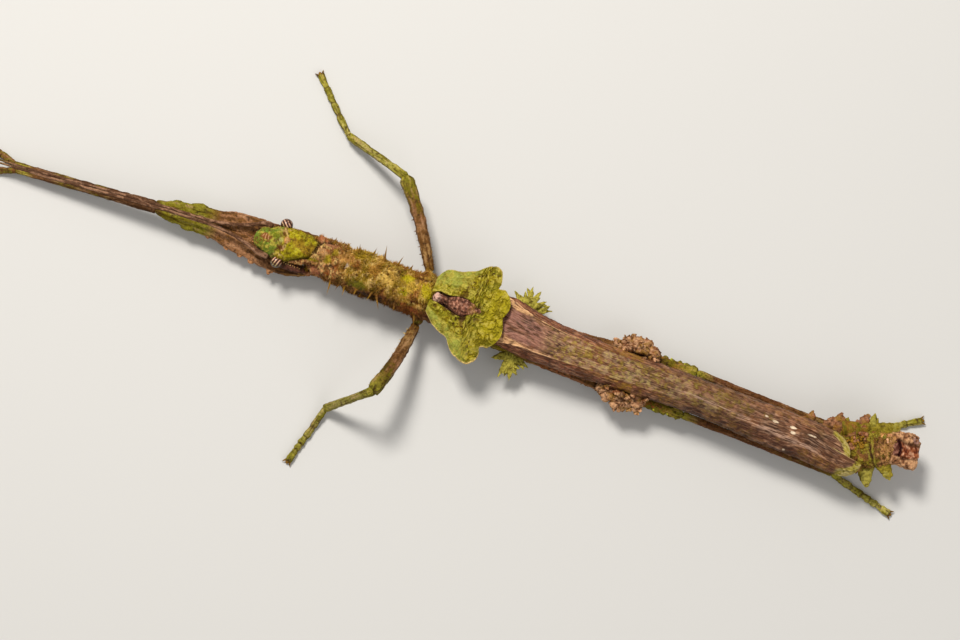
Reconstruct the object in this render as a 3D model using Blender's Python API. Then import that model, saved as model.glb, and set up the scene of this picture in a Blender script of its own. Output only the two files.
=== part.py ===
"""Neoclides stick insect: a mossy winged female, life-size, lying flat with its legs spread.

The head points to -X, the insect's right side is +Y and +Z is up. Sizes in this file are
millimetres in the insect's own frame, and MM turns them into metres where a mesh is written.
The feet stand on z = 0, under the middle of the whole insect.
"""
import math
import random
from collections import namedtuple

import bmesh
import bpy
from mathutils import Matrix, Vector

MM = 0.001
GAP = 0.3
HALF_GAP = GAP / 2
SIDES = {"left": -1, "right": 1}

# One cross-section of the body or of a limb: its middle, half width, and reach above and below
Station = namedtuple("Station", "x y z wide rise drop")

# Body lengths, front to rear
HEAD = [
    Station(-21.9, 0.88, 3.85, 1.05, 0.70, 0.85),
    Station(-21.2, 0.92, 3.85, 1.30, 0.95, 1.20),
    Station(-20.0, 1.00, 3.80, 1.70, 1.25, 1.40),
    Station(-18.6, 1.10, 3.80, 2.15, 1.50, 1.45),
    Station(-17.0, 1.20, 3.80, 2.05, 1.65, 1.45),
    Station(-15.6, 1.30, 3.75, 1.85, 1.60, 1.40),
    Station(-14.9, 1.33, 3.70, 1.60, 1.40, 1.25),
]
PROTHORAX = [
    Station(-14.6, 1.32, 3.65, 1.80, 1.70, 1.45),
    Station(-13.9, 1.30, 3.60, 2.25, 1.95, 1.80),
    Station(-12.6, 1.20, 3.60, 2.40, 2.00, 1.95),
    Station(-11.0, 1.05, 3.60, 2.45, 2.15, 1.95),
    Station(-10.5, 1.00, 3.60, 2.40, 2.10, 1.90),
]
MESOTHORAX = [
    Station(-10.2, 1.00, 3.65, 2.35, 2.20, 2.00),
    Station(-9.4, 0.97, 3.70, 2.60, 2.50, 2.20),
    Station(-7.0, 0.98, 3.75, 2.55, 2.60, 2.20),
    Station(-4.5, 0.95, 3.80, 2.50, 2.70, 2.20),
    Station(-2.0, 0.92, 3.80, 2.65, 2.80, 2.30),
    Station(0.3, 0.90, 3.80, 2.85, 2.75, 2.35),
]
METATHORAX = [
    Station(0.6, 0.90, 3.40, 2.70, 1.30, 1.95),
    Station(3.0, 0.93, 3.40, 2.70, 1.30, 1.95),
    Station(6.0, 0.95, 3.40, 2.50, 1.30, 1.90),
    Station(9.3, 0.90, 3.40, 1.80, 1.35, 1.80),
]
ABDOMEN = [
    Station(9.6, 0.88, 3.40, 1.70, 1.35, 1.80),
    Station(14.0, 0.72, 3.35, 1.50, 1.60, 1.80),
    Station(20.0, 0.68, 3.30, 1.50, 1.60, 1.80),
    Station(34.0, 0.72, 3.30, 1.55, 1.60, 1.70),
    Station(45.0, 0.50, 3.45, 1.60, 1.50, 1.60),
    Station(50.0, 0.65, 3.55, 1.60, 1.40, 1.50),
    Station(53.6, 1.35, 3.85, 1.90, 1.25, 1.45),
    Station(54.6, 1.60, 3.95, 2.10, 1.85, 1.45),
    Station(56.0, 2.05, 4.10, 2.00, 1.60, 1.35),
    Station(57.2, 2.45, 4.25, 1.75, 1.25, 1.20),
]
ABDOMEN_CUTS = [9.6, 20.0, 31.0, 42.0, 52.2, 57.2]
# Last segment: its front, and lobes as (root, tip, half width at the root, flatness, share at the tip)
LAST_SEGMENT = [
    Station(57.5, 2.95, 4.25, 1.85, 1.10, 1.15),
    Station(58.3, 2.95, 4.30, 2.00, 1.15, 1.20),
    Station(59.0, 3.05, 4.30, 1.90, 0.85, 1.00),
]
LAST_LOBES = [
    ((57.9, 4.15, 4.30), (60.20, 4.40, 4.35), 0.80, 1.00, 0.75),
    ((58.0, 1.85, 4.30), (60.50, 1.75, 4.35), 0.85, 1.00, 0.75),
    ((58.0, 3.00, 4.30), (60.60, 3.10, 4.25), 0.85, 0.75, 0.80),
]
# Slit across the last segment's back
SLIT_LINE = [(58.0, 4.05, 5.35), (57.9, 3.30, 5.45), (57.95, 2.60, 5.45), (58.2, 1.95, 5.35)]
SLIT_HALF = 0.30
ABDOMEN_NAMES = ["abdomen_1", "abdomen_2", "abdomen_3", "abdomen_4", "abdomen_end"]

# The mouth's feelers end here
MOUTH = Vector((-22.2, 0.90, 2.78))

# Eyes bulge from the sides of the head
EYE_RADIUS = 0.74
EYES = {"left": Vector((-18.35, -1.20, 4.25)), "right": Vector((-18.75, 3.38, 4.25))}

# Wings: tegmina as (x, inner y, outer y), ending in a side lobe, a notch and a rear lobe
TEGMEN_THICK = 0.5
TEGMEN_TOP = 6.70
TEGMEN_MIDDLE = 1.2
TEGMEN_DROOP = 0.022
TEGMINA = {
    "left": [
        (0.6, 0.35, -1.60),
        (1.3, 0.45, -1.90),
        (2.3, 0.20, -2.50),
        (3.6, -0.15, -3.10),
        (4.3, -0.20, -3.80),
        (4.9, 0.00, -4.50),
        (5.8, 0.50, -4.95),
        (6.6, 0.95, -5.15),
        (7.3, 1.05, -4.95),
        (7.8, 1.05, -4.10),
        (8.1, 1.05, -2.80),
        (8.7, 1.05, -2.60),
        (9.3, 1.00, -1.80),
        (9.7, 0.80, -0.70),
    ],
    "right": [
        (0.6, 1.65, 3.80),
        (1.3, 1.85, 4.50),
        (2.5, 1.75, 4.95),
        (4.2, 2.05, 5.55),
        (5.1, 1.85, 6.20),
        (5.7, 1.65, 6.75),
        (6.5, 1.40, 7.05),
        (7.2, 1.35, 6.60),
        (7.6, 1.35, 5.50),
        (7.9, 1.35, 4.55),
        (8.5, 1.35, 4.50),
        (9.2, 1.35, 3.80),
        (9.5, 1.40, 2.80),
        (9.7, 1.60, 2.20),
    ],
}
TEGMEN_VEINS = (0.0, 0.0, 0.22, 0.0, 0.28, 0.0, 0.18, 0.0, 0.0)

# Folded hindwings as (x, middle y, half width, top z, edge z)
HINDWING_THICK = 0.5
HINDWINGS = [
    (0.7, 0.95, 1.20, 5.60, 5.50),
    (3.0, 1.00, 1.90, 5.65, 5.40),
    (6.5, 1.05, 2.60, 5.65, 5.20),
    (9.5, 1.30, 3.00, 5.75, 4.90),
    (11.5, 1.05, 2.95, 6.20, 4.60),
    (14.0, 0.75, 2.80, 6.40, 4.40),
    (17.0, 0.60, 2.58, 6.40, 4.30),
    (22.0, 0.60, 2.40, 6.35, 4.30),
    (34.0, 0.72, 2.20, 6.30, 4.30),
    (42.0, 0.42, 2.40, 6.30, 4.40),
    (47.0, 0.30, 2.45, 6.30, 4.50),
    (50.0, 0.05, 2.45, 6.30, 4.65),
    (51.5, -0.10, 2.40, 6.30, 4.90),
]
HINDWING_TIPS = {"left": 54.1, "right": 52.4}
HINDWING_ROWS = 26
# The folded wing's edge leans over by this angle
HINDWING_LEAN = math.radians(60)
# Across a hindwing: share of the half width, share of the drop to the edge, and vein height
HINDWING_PROFILE = [
    (0.00, 0.00, 0.00),
    (0.10, 0.00, 0.00),
    (0.18, 0.01, 0.14),
    (0.26, 0.02, 0.00),
    (0.36, 0.05, 0.00),
    (0.44, 0.07, 0.12),
    (0.52, 0.10, 0.00),
    (0.58, 0.13, 0.00),
    (0.64, 0.15, 0.22),
    (0.72, 0.28, 0.00),
    (0.85, 0.50, 0.00),
    (0.92, 0.62, 0.12),
    (0.97, 0.78, 0.00),
    (1.00, 1.00, 0.00),
]

# Joints of each leg: root of the coxa in the body, hip, bends of the femur, knee, ankle and toe
TOE_HEIGHT = 0.33
ANKLE_HEIGHT = 0.85
Leg = namedtuple("Leg", "root hip bends knee ankle toe")
LEGS = {
    "fore_right": Leg(
        (-13.0, 2.35, 2.45),
        (-14.7, 3.35, 2.20),
        [(-18.3, 3.20, 1.95), (-22.6, 2.25, 1.95), (-27.0, 1.72, 2.30)],
        (-34.7, 0.71, 2.60),
        (-52.6, -0.40, ANKLE_HEIGHT),
        (-60.2, 1.70, TOE_HEIGHT),
    ),
    "fore_left": Leg(
        (-13.0, 0.15, 2.45),
        (-14.7, -0.75, 2.20),
        [(-17.6, -1.50, 1.95), (-21.3, -1.20, 1.95), (-25.9, -0.52, 2.30)],
        (-34.4, -0.41, 2.50),
        (-52.2, -1.38, ANKLE_HEIGHT),
        (-59.7, -3.60, TOE_HEIGHT),
    ),
    "mid_right": Leg(
        (-0.5, 2.60, 2.50),
        (-0.9, 4.05, 2.80),
        [(-4.3, 9.55, 4.00)],
        (-7.5, 13.60, 4.70),
        (-16.0, 16.55, ANKLE_HEIGHT),
        (-22.0, 22.60, TOE_HEIGHT),
    ),
    "mid_left": Leg(
        (-0.5, -0.90, 2.50),
        (-0.3, -2.40, 2.90),
        [(-0.9, -7.70, 5.90)],
        (-2.05, -12.00, 8.00),
        (-7.1, -15.30, ANKLE_HEIGHT),
        (-9.2, -22.75, TOE_HEIGHT),
    ),
    "hind_right": Leg(
        (7.3, 2.30, 2.60),
        (8.7, 3.25, 2.45),
        [(18.0, 2.85, 2.40), (24.0, 3.30, 2.60)],
        (33.0, 3.50, 2.80),
        (52.8, 3.20, ANKLE_HEIGHT),
        (60.15, 7.60, TOE_HEIGHT),
    ),
    "hind_left": Leg(
        (7.3, -0.45, 2.60),
        (8.7, -1.40, 2.45),
        [(18.0, -1.60, 2.40), (24.0, -1.90, 2.60)],
        (33.0, -1.75, 2.65),
        (51.9, -2.05, ANKLE_HEIGHT),
        (60.0, -4.20, TOE_HEIGHT),
    ),
}
# Half width of coxa, femur and tibia, from the body outwards
LEG_SIZES = {
    "fore": [(0.75, 0.65), (0.62, 0.82, 1.00, 0.76, 0.42), (0.33, 0.30)],
    "mid": [(0.70, 0.62), (0.60, 0.58), (0.45, 0.38)],
    "hind": [(0.80, 0.68), (0.60, 0.55), (0.42, 0.38)],
}
# The fore femora are flattened, no thicker than this half
FORE_FEMUR_TALL = 0.55
TARSUS_HALF = 0.30
TARSUS_SWELL = 0.42
# Rings of one foot segment: share of its length and half thickness
TARSOMERE_RINGS = [(0.06, TARSUS_HALF), (0.42, TARSUS_SWELL), (0.92, TARSUS_SWELL)]
# Ends of the five foot segments, as shares of the foot's length
TARSOMERES = [0.36, 0.54, 0.67, 0.78, 1.0]
CLAW_LENGTH = 0.55
CLAW_HALF = 0.2
# A claw's root and tip: along the foot from the toe, sideways and up
CLAW_ROOT = (-0.4, 0.15, 0.05)
CLAW_TIP = (CLAW_LENGTH, 0.42, -0.16)

# Feelers start at the sides of the head's front and run one over the other above the fore legs
ANTENNA_HALF = [0.34, 0.30, 0.27, 0.26, 0.26, 0.26, 0.26, 0.25, 0.24, 0.15]
ANTENNA_LINES = {
    "left": [
        (-20.9, -0.80, 3.85),
        (-22.1, -0.40, 3.75),
        (-23.5, 0.02, 3.80),
        (-25.0, 0.28, 3.95),
        (-27.2, 0.40, 4.12),
        (-30.0, 0.36, 4.30),
        (-34.0, 0.22, 4.34),
        (-42.0, -0.10, 3.72),
        (-50.0, -0.80, 2.82),
        (-58.5, -1.30, 2.20),
    ],
    "right": [
        (-21.1, 2.77, 3.72),
        (-22.2, 2.30, 3.45),
        (-23.7, 1.75, 3.25),
        (-25.3, 1.28, 3.22),
        (-27.2, 0.85, 3.30),
        (-30.0, 0.56, 3.46),
        (-34.0, 0.34, 3.52),
        (-42.0, 0.05, 2.90),
        (-50.0, -0.65, 1.98),
        (-58.5, -0.90, 1.40),
    ],
}

# Spines in pairs along the sides of the mesothorax, as (x, length), and warts along its back
SIDE_SPINES = [(-9.4, 0.9), (-8.0, 1.2), (-6.4, 1.6), (-4.9, 1.2), (-3.3, 0.8)]
SPINE_HALF = 0.26
SPINE_ANGLE = math.radians(22)
BACK_WARTS = [(-9.0, 0.5), (-7.3, 0.45), (-5.6, 0.5), (-3.9, 0.45), (-2.2, 0.5)]
WART_HALF = 0.34
WART_ANGLE = math.radians(62)
NECK_WARTS = [(-13.2, 0.6), (-11.6, 0.7)]
HEAD_WARTS = [(-17.2, 0.5), (-16.0, 0.4)]

# Flat lobes of the legs, as shares of the femur's length, reach sideways and half width at the root
STAR_PLACE = 0.11
STAR_LENGTHS = [1.7, 2.2, 2.9, 2.6, 1.9]
STAR_SPREAD = math.radians(130)
LUMPS = [(0.595, 1.15), (0.64, 1.75), (0.68, 1.85), (0.72, 1.1)]
KNEE_LOBES = [(0.84, 0.95), (0.90, 1.05), (0.95, 0.95)]
FORE_LOBES = {
    "right": [(0.58, 0.95), (0.68, 1.00), (0.76, 1.20), (0.87, 0.90)],
    "left": [(0.33, 1.20), (0.48, 1.15), (0.66, 1.00), (0.82, 0.90)],
}
MID_TEETH = [(0.22, 0.9), (0.36, 0.95), (0.50, 0.95), (0.64, 1.0), (0.78, 1.05), (0.90, 1.0)]
LOBE_HALF = 0.42
LOBE_FLAT = 0.55

# Lobes of the abdomen's rear, as (root, tip, half width at the root, share of it at the tip)
ABDOMEN_LOBES = {
    "abdomen_4": [
        ((46.8, 1.5, 3.1), (47.2, 3.9, 3.6), 0.55, 0.5),
        ((50.4, 1.7, 3.1), (51.0, 5.0, 3.7), 0.80, 0.45),
    ],
    "abdomen_end": [
        ((53.7, 2.2, 4.4), (53.7, 6.2, 4.7), 1.20, 0.60),
        ((55.8, 2.8, 4.4), (56.8, 6.2, 4.6), 1.00, 0.55),
        ((54.6, 0.6, 4.0), (55.4, -2.4, 4.3), 0.80, 0.5),
        ((56.2, 1.6, 4.0), (58.2, -0.8, 4.4), 0.80, 0.6),
    ],
}
LOBE_SHARE = 0.5

# Colour, roughness of each kind of part
COLOURS = {
    "head": ((0.24, 0.27, 0.05), 0.75),
    "eye": ((0.10, 0.05, 0.03), 0.25),
    "antenna": ((0.20, 0.10, 0.06), 0.70),
    "prothorax": ((0.24, 0.12, 0.07), 0.80),
    "mesothorax": ((0.22, 0.17, 0.05), 0.80),
    "metathorax": ((0.22, 0.15, 0.06), 0.80),
    "abdomen": ((0.20, 0.14, 0.08), 0.80),
    "tegmen": ((0.36, 0.38, 0.10), 0.70),
    "hindwing": ((0.18, 0.11, 0.08), 0.65),
    "fore": ((0.22, 0.13, 0.08), 0.80),
    "mid": ((0.23, 0.20, 0.06), 0.80),
    "hind": ((0.22, 0.18, 0.06), 0.80),
}

random.seed(7)


def clear_scene():
    for thing in list(bpy.data.objects):
        bpy.data.objects.remove(thing, do_unlink=True)
    for group in list(bpy.data.collections):
        bpy.data.collections.remove(group)


def new_collection(name):
    group = bpy.data.collections.new(name)
    bpy.context.scene.collection.children.link(group)
    return group


def material(kind):
    name = kind + "_shell"
    if name in bpy.data.materials:
        return bpy.data.materials[name]
    colour, roughness = COLOURS[kind]
    made = bpy.data.materials.new(name)
    made.use_nodes = True
    shader = made.node_tree.nodes["Principled BSDF"]
    shader.inputs["Base Color"].default_value = (*colour, 1.0)
    shader.inputs["Roughness"].default_value = roughness
    shader.inputs["Metallic"].default_value = 0.0
    return made


def add_object(name, mesh, group, kind):
    made = bpy.data.objects.new(name, mesh)
    group.objects.link(made)
    if kind:
        mesh.materials.append(material(kind))
    mesh.shade_smooth()
    mesh.set_sharp_from_angle(angle=math.radians(40))
    return made


def mesh_of(name, points, faces):
    """A closed mesh from points in millimetres, its faces turned outwards."""
    mesh = bpy.data.meshes.new(name)
    mesh.from_pydata([Vector(p) * MM for p in points], [], faces)
    work = bmesh.new()
    work.from_mesh(mesh)
    bmesh.ops.recalc_face_normals(work, faces=work.faces)
    work.to_mesh(mesh)
    work.free()
    return mesh


def catmull(a, b, c, d, t):
    """The value at t on the smooth curve from b to c."""
    return 0.5 * (
        2 * b + (c - a) * t + (2 * a - 5 * b + 4 * c - d) * t * t + (3 * b - a - 3 * c + d) * t ** 3
    )


def at(rows, x):
    """A row of values at x, smooth through rows whose first value is x."""
    low = max(k for k in range(len(rows) - 1) if k == 0 or rows[k][0] <= x)
    t = (x - rows[low][0]) / (rows[low + 1][0] - rows[low][0])
    near = [rows[min(max(k, 0), len(rows) - 1)] for k in range(low - 1, low + 3)]
    return [x] + [catmull(*(row[k] for row in near), t) for k in range(1, len(rows[0]))]


def ring(centre, along, wide, rise, drop, count, power):
    """A superellipse round a centre, square to the direction along."""
    side = Vector((0, 0, 1)).cross(along).normalized()
    up = along.cross(side).normalized()
    points = []
    for k in range(count):
        angle = 2 * math.pi * (k + 0.5) / count
        c, s = math.cos(angle), math.sin(angle)
        across = wide * math.copysign(abs(c) ** (2 / power), c)
        height = (rise if s > 0 else drop) * math.copysign(abs(s) ** (2 / power), s)
        points.append(centre + side * across + up * height)
    return points


def skin(rings):
    """Points and faces of a closed loft through rings with the same count."""
    count = len(rings[0])
    points = [p for r in rings for p in r]
    faces = []
    for row in range(len(rings) - 1):
        for k in range(count):
            a = row * count + k
            b = row * count + (k + 1) % count
            faces.append((a, b, b + count, a + count))
    faces.append(tuple(range(count)))
    faces.append(tuple(range(len(points) - count, len(points))))
    return points, faces


def body_length(name, rows, start, end, group, kind, step=1.0, count=18, power=2.3):
    """One closed length of the body from x = start to x = end."""
    steps = max(3, round((end - start) / step))
    rings = []
    for k in range(steps + 1):
        x = start + (end - start) * k / steps
        here = Station(*at(rows, x))
        ahead = Station(*at(rows, x + 0.05))
        along = Vector((0.05, ahead.y - here.y, 0))
        centre = Vector((x, here.y, here.z))
        rings.append(ring(centre, along, here.wide, here.rise, here.drop, count, power))
    return add_object(name, mesh_of(name, *skin(rings)), group, kind)


def mitre(points, plane, along):
    """Slides points along a limb onto the plane of a joint, given as a point and a normal."""
    joint, normal = plane
    return [p + along * ((joint - p).dot(normal) / along.dot(normal)) for p in points]


def limb_rings(path, halves, count, power, start_plane=None, end_plane=None, tallest=math.inf):
    """Rings round a path of points, each end cut on its joint's plane."""
    rings = []
    for k, point in enumerate(path):
        before = path[max(k - 1, 0)]
        after = path[min(k + 1, len(path) - 1)]
        along = (after - before).normalized()
        tall = min(halves[k], tallest)
        rings.append(ring(point, along, halves[k], tall, tall, count, power))
    if start_plane:
        rings[0] = mitre(rings[0], start_plane, (path[1] - path[0]).normalized())
    if end_plane:
        rings[-1] = mitre(rings[-1], end_plane, (path[-1] - path[-2]).normalized())
    return rings


def smooth_path(knots, pieces):
    """A smooth line through knots, each stretch cut into equal pieces."""
    path = []
    last = len(knots) - 1
    for k in range(last):
        near = [knots[min(max(j, 0), last)] for j in (k - 1, k, k + 1, k + 2)]
        path += [catmull(*near, step / pieces) for step in range(pieces)]
    return path + [knots[last]]


def cone(name, root, tip, half, group, flat=1.0, blunt=0.25, sides=6):
    """A tapered spine or lobe from its root to its tip, flattened by the share flat."""
    work = bmesh.new()
    length = (tip - root).length
    bmesh.ops.create_cone(
        work, cap_ends=True, segments=sides, radius1=half * MM, radius2=half * blunt * MM, depth=length * MM
    )
    bmesh.ops.scale(work, verts=work.verts, vec=(1, flat, 1))
    mesh = bpy.data.meshes.new(name)
    turn = (tip - root).to_track_quat("Z", "Y").to_matrix().to_4x4()
    bmesh.ops.transform(work, verts=work.verts, matrix=Matrix.Translation((root + tip) / 2 * MM) @ turn)
    work.to_mesh(mesh)
    work.free()
    made = bpy.data.objects.new(name, mesh)
    group.objects.link(made)
    return made


def ball(name, centre, radii, group, segments=16):
    """An ellipsoid with its three half sizes."""
    work = bmesh.new()
    bmesh.ops.create_uvsphere(work, u_segments=segments, v_segments=segments // 2, radius=MM)
    bmesh.ops.scale(work, verts=work.verts, vec=radii)
    bmesh.ops.translate(work, verts=work.verts, vec=centre * MM)
    mesh = bpy.data.meshes.new(name)
    work.to_mesh(mesh)
    work.free()
    made = bpy.data.objects.new(name, mesh)
    group.objects.link(made)
    return made


def linked_faces(start, left):
    """All faces of one closed surface, taken out of the set left."""
    shell = set()
    waiting = [start]
    while waiting:
        face = waiting.pop()
        shell.add(face)
        for edge in face.edges:
            for other in edge.link_faces:
                if other in left:
                    left.remove(other)
                    waiting.append(other)
    return shell


def keep_largest(mesh):
    """Drops every closed surface of a mesh but the one with the most area."""
    work = bmesh.new()
    work.from_mesh(mesh)
    left = set(work.faces)
    shells = []
    while left:
        shells.append(linked_faces(left.pop(), left))
    shells.sort(key=lambda shell: sum(face.calc_area() for face in shell))
    for shell in shells[:-1]:
        bmesh.ops.delete(work, geom=list(shell), context="FACES")
    work.to_mesh(mesh)
    work.free()


def combine(base, pieces, operation):
    """Joins pieces to a node, or cuts them from it, in one Boolean, and removes them."""
    tools = new_collection("tools")
    for piece in pieces:
        for group in list(piece.users_collection):
            group.objects.unlink(piece)
        tools.objects.link(piece)
        piece.hide_render = True
        piece.display_type = "WIRE"
    change = base.modifiers.new("join", "BOOLEAN")
    change.operation = operation
    change.operand_type = "COLLECTION"
    change.collection = tools
    change.solver = "EXACT"
    seen = base.evaluated_get(bpy.context.evaluated_depsgraph_get())
    mesh = bpy.data.meshes.new_from_object(seen)
    base.modifiers.clear()
    base.data = mesh
    keep_largest(mesh)
    for piece in list(tools.objects):
        bpy.data.objects.remove(piece, do_unlink=True)
    bpy.data.collections.remove(tools)


def sheet(name, top, under, group, kind):
    """A closed plate between two open grids of points, both split into triangles alike."""
    rows, columns = len(top), len(top[0])
    points = [p for grid in (top, under) for row in grid for p in row]
    below = rows * columns
    faces = []
    for i in range(rows - 1):
        for j in range(columns - 1):
            a = i * columns + j
            for face in ((a, a + 1, a + columns + 1), (a, a + columns + 1, a + columns)):
                faces.append(face)
                faces.append(tuple(below + k for k in reversed(face)))
    border = [j for j in range(columns)]
    border += [i * columns + columns - 1 for i in range(1, rows)]
    border += [(rows - 1) * columns + j for j in range(columns - 2, -1, -1)]
    border += [i * columns for i in range(rows - 2, 0, -1)]
    for a, b in zip(border, border[1:] + border[:1]):
        faces.append((a, b, below + b))
        faces.append((a, below + b, below + a))
    return add_object(name, mesh_of(name, points, faces), group, kind)


def surface_point(rows, x, angle, power=2.3):
    """A point on the body's surface and the way out of it, angle counted up from the right side."""
    here = Station(*at(rows, x))
    c, s = math.cos(angle), math.sin(angle)
    y = here.wide * math.copysign(abs(c) ** (2 / power), c)
    z = (here.rise if s > 0 else here.drop) * math.copysign(abs(s) ** (2 / power), s)
    return Vector((x, here.y + y, here.z + z)), Vector((0, c, s))


def spine_pairs(rows, places, angle, half, group, blunt=0.25):
    """Spines on both sides of the body, each leaning a little forward or back."""
    made = []
    for x, length in places:
        for way in (angle, math.pi - angle):
            lean = Vector((random.uniform(-0.3, 0.3), 0, random.uniform(-0.1, 0.2)))
            point, out = surface_point(rows, x + random.uniform(-0.3, 0.3), way)
            root = point - out * 2 * half
            tip = point + (out + lean).normalized() * length
            made.append(cone("spine", root, tip, half, group, blunt=blunt))
    return made


def along_path(knots, share):
    """A point on the line of a limb, by the share of its length."""
    path = smooth_path(knots, 6)
    lengths = [(b - a).length for a, b in zip(path, path[1:])]
    left = share * sum(lengths)
    for (a, b), length in zip(zip(path, path[1:]), lengths):
        if left <= length:
            return a + (b - a) * left / length, (b - a).normalized()
        left -= length
    return path[-1], (path[-1] - path[-2]).normalized()


def limb_lobes(knots, places, sign, group, half=LOBE_HALF, flat=LOBE_FLAT, blunt=0.35):
    """Flattened lobes on the outer edge of a limb, as (share of its length, reach from its middle)."""
    made = []
    for share, reach in places:
        point, along = along_path(knots, share)
        out = Vector((-along.y, along.x, 0)).normalized()
        out = out if out.y * sign > 0 else -out
        tip = point + out * reach + Vector((0, 0, random.uniform(-0.1, 0.25)))
        made.append(cone("lobe", point, tip, half, group, flat=flat, blunt=blunt))
    return made


def star_lobes(knots, sign, group):
    """A fan of pointed lobes near the base of a hind femur."""
    centre, along = along_path(knots, STAR_PLACE)
    made = []
    for k, length in enumerate(STAR_LENGTHS):
        angle = STAR_SPREAD * (k / (len(STAR_LENGTHS) - 1) - 0.5) + math.pi / 2
        way = Vector((-math.cos(angle), sign * math.sin(angle), 0.05 * (-1) ** k))
        tip = centre + way.normalized() * length
        made.append(cone("star", centre, tip, 0.45, group, flat=0.6, blunt=0.2))
    return made


def build_head(group):
    head = body_length("head", HEAD, HEAD[0].x, HEAD[-1].x, group, "head", step=0.7)
    sockets = []
    for side, centre in EYES.items():
        eye = ball("eye_" + side, centre, (EYE_RADIUS,) * 3, group)
        eye.data.materials.append(material("eye"))
        eye.data.shade_smooth()
        sockets.append(ball("socket_" + side, centre, (EYE_RADIUS + GAP,) * 3, group))
    combine(head, sockets, "DIFFERENCE")
    forms = spine_pairs(HEAD, HEAD_WARTS, WART_ANGLE, WART_HALF, group)
    for sign in SIDES.values():
        root = Vector((MOUTH.x + 0.9, MOUTH.y + sign * 0.35, MOUTH.z + 0.4))
        tip = Vector((MOUTH.x, MOUTH.y + sign * 0.45, MOUTH.z))
        forms.append(cone("palp", root, tip, 0.3, group, blunt=0.7))
    combine(head, forms, "UNION")


def build_antennae(group):
    for side, line in ANTENNA_LINES.items():
        path = smooth_path([Vector(point) for point in line], 3)
        halves = smooth_path(ANTENNA_HALF, 3)
        rings = limb_rings(path, halves, 8, 2.0)
        name = "antenna_" + side
        add_object(name, mesh_of(name, *skin(rings)), group, "antenna")


def build_thorax(group):
    made = {}
    for name, rows in (("prothorax", PROTHORAX), ("mesothorax", MESOTHORAX), ("metathorax", METATHORAX)):
        made[name] = body_length(name, rows, rows[0].x, rows[-1].x, group, name)
    neck = spine_pairs(PROTHORAX, NECK_WARTS, SPINE_ANGLE, WART_HALF, group)
    combine(made["prothorax"], neck, "UNION")
    spines = spine_pairs(MESOTHORAX, SIDE_SPINES, SPINE_ANGLE, SPINE_HALF, group)
    spines += spine_pairs(MESOTHORAX, BACK_WARTS, WART_ANGLE, WART_HALF, group)
    combine(made["mesothorax"], spines, "UNION")
    return made


def build_abdomen(group):
    made = {}
    for name, start, end in zip(ABDOMEN_NAMES, ABDOMEN_CUTS, ABDOMEN_CUTS[1:]):
        first = start if start == ABDOMEN_CUTS[0] else start + HALF_GAP
        last = end if end == ABDOMEN_CUTS[-1] else end - HALF_GAP
        made[name] = body_length(name, ABDOMEN, first, last, group, "abdomen", step=1.5, count=16)
    for name, rows in ABDOMEN_LOBES.items():
        lobes = []
        for root, tip, half, blunt in rows:
            lobe = cone("lobe", Vector(root), Vector(tip), half, group, flat=LOBE_SHARE, blunt=blunt, sides=8)
            lobes.append(lobe)
        combine(made[name], lobes, "UNION")
    return made


def build_last_segment(group):
    """The last segment: a slit across its back, and behind that two side lobes round a plate."""
    start, end = LAST_SEGMENT[0].x, LAST_SEGMENT[-1].x
    base = body_length("abdomen_tip", LAST_SEGMENT, start, end, group, "abdomen", step=0.4, count=16)
    lobes = []
    for root, tip, half, flat, blunt in LAST_LOBES:
        lobes.append(cone("lobe", Vector(root), Vector(tip), half, group, flat=flat, blunt=blunt, sides=10))
    combine(base, lobes, "UNION")
    path = [Vector(point) for point in SLIT_LINE]
    rings = limb_rings(path, [SLIT_HALF] * len(path), 8, 2.0)
    slit = bpy.data.objects.new("slit", mesh_of("slit", *skin(rings)))
    group.objects.link(slit)
    combine(base, [slit], "DIFFERENCE")


def build_tegmina(group):
    for side, rows in TEGMINA.items():
        top = []
        under = []
        for x, inner, outer in rows:
            ys = [inner + (outer - inner) * k / (len(TEGMEN_VEINS) - 1) for k in range(len(TEGMEN_VEINS))]
            zs = [TEGMEN_TOP - TEGMEN_DROOP * (y - TEGMEN_MIDDLE) ** 2 for y in ys]
            top.append([Vector((x, y, z + vein)) for y, z, vein in zip(ys, zs, TEGMEN_VEINS)])
            under.append([Vector((x, y, z - TEGMEN_THICK)) for y, z in zip(ys, zs)])
        sheet("tegmen_" + side, top, under, group, "tegmen")


def build_hindwings(group):
    first = HINDWINGS[0][0]
    last = HINDWINGS[-1][0]
    for side, sign in SIDES.items():
        tip = HINDWING_TIPS[side]
        top_grid = []
        under_grid = []
        for k in range(HINDWING_ROWS + 1):
            x = first + (tip - first) * k / HINDWING_ROWS
            _, middle, half, top, edge = at(HINDWINGS, min(x, last))
            if x > last:
                round_off = math.sqrt(max(0.0, 1 - ((x - last) / (tip - last)) ** 2))
                half *= max(round_off, 0.35)
                edge = top - (top - edge) * max(round_off, 0.35)
            line = []
            inside = []
            for share, fall, vein in HINDWING_PROFILE:
                y = middle + sign * (HALF_GAP + (half - HALF_GAP) * share)
                z = top - (top - edge) * fall
                lean = HINDWING_LEAN * max(0.0, 2 * share - 1)
                line.append(Vector((x, y, z + vein)))
                inwards = Vector((0, -sign * math.sin(lean), -math.cos(lean)))
                inside.append(Vector((x, y, z)) + inwards * HINDWING_THICK)
            top_grid.append(line)
            under_grid.append(inside)
        sheet("hindwing_" + side, top_grid, under_grid, group, "hindwing")


def joint_plane(before, joint, after, step):
    """The plane that halves the bend at a joint, moved by step along the limb."""
    normal = ((joint - before).normalized() + (after - joint).normalized()).normalized()
    return joint + normal * step, normal


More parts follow.
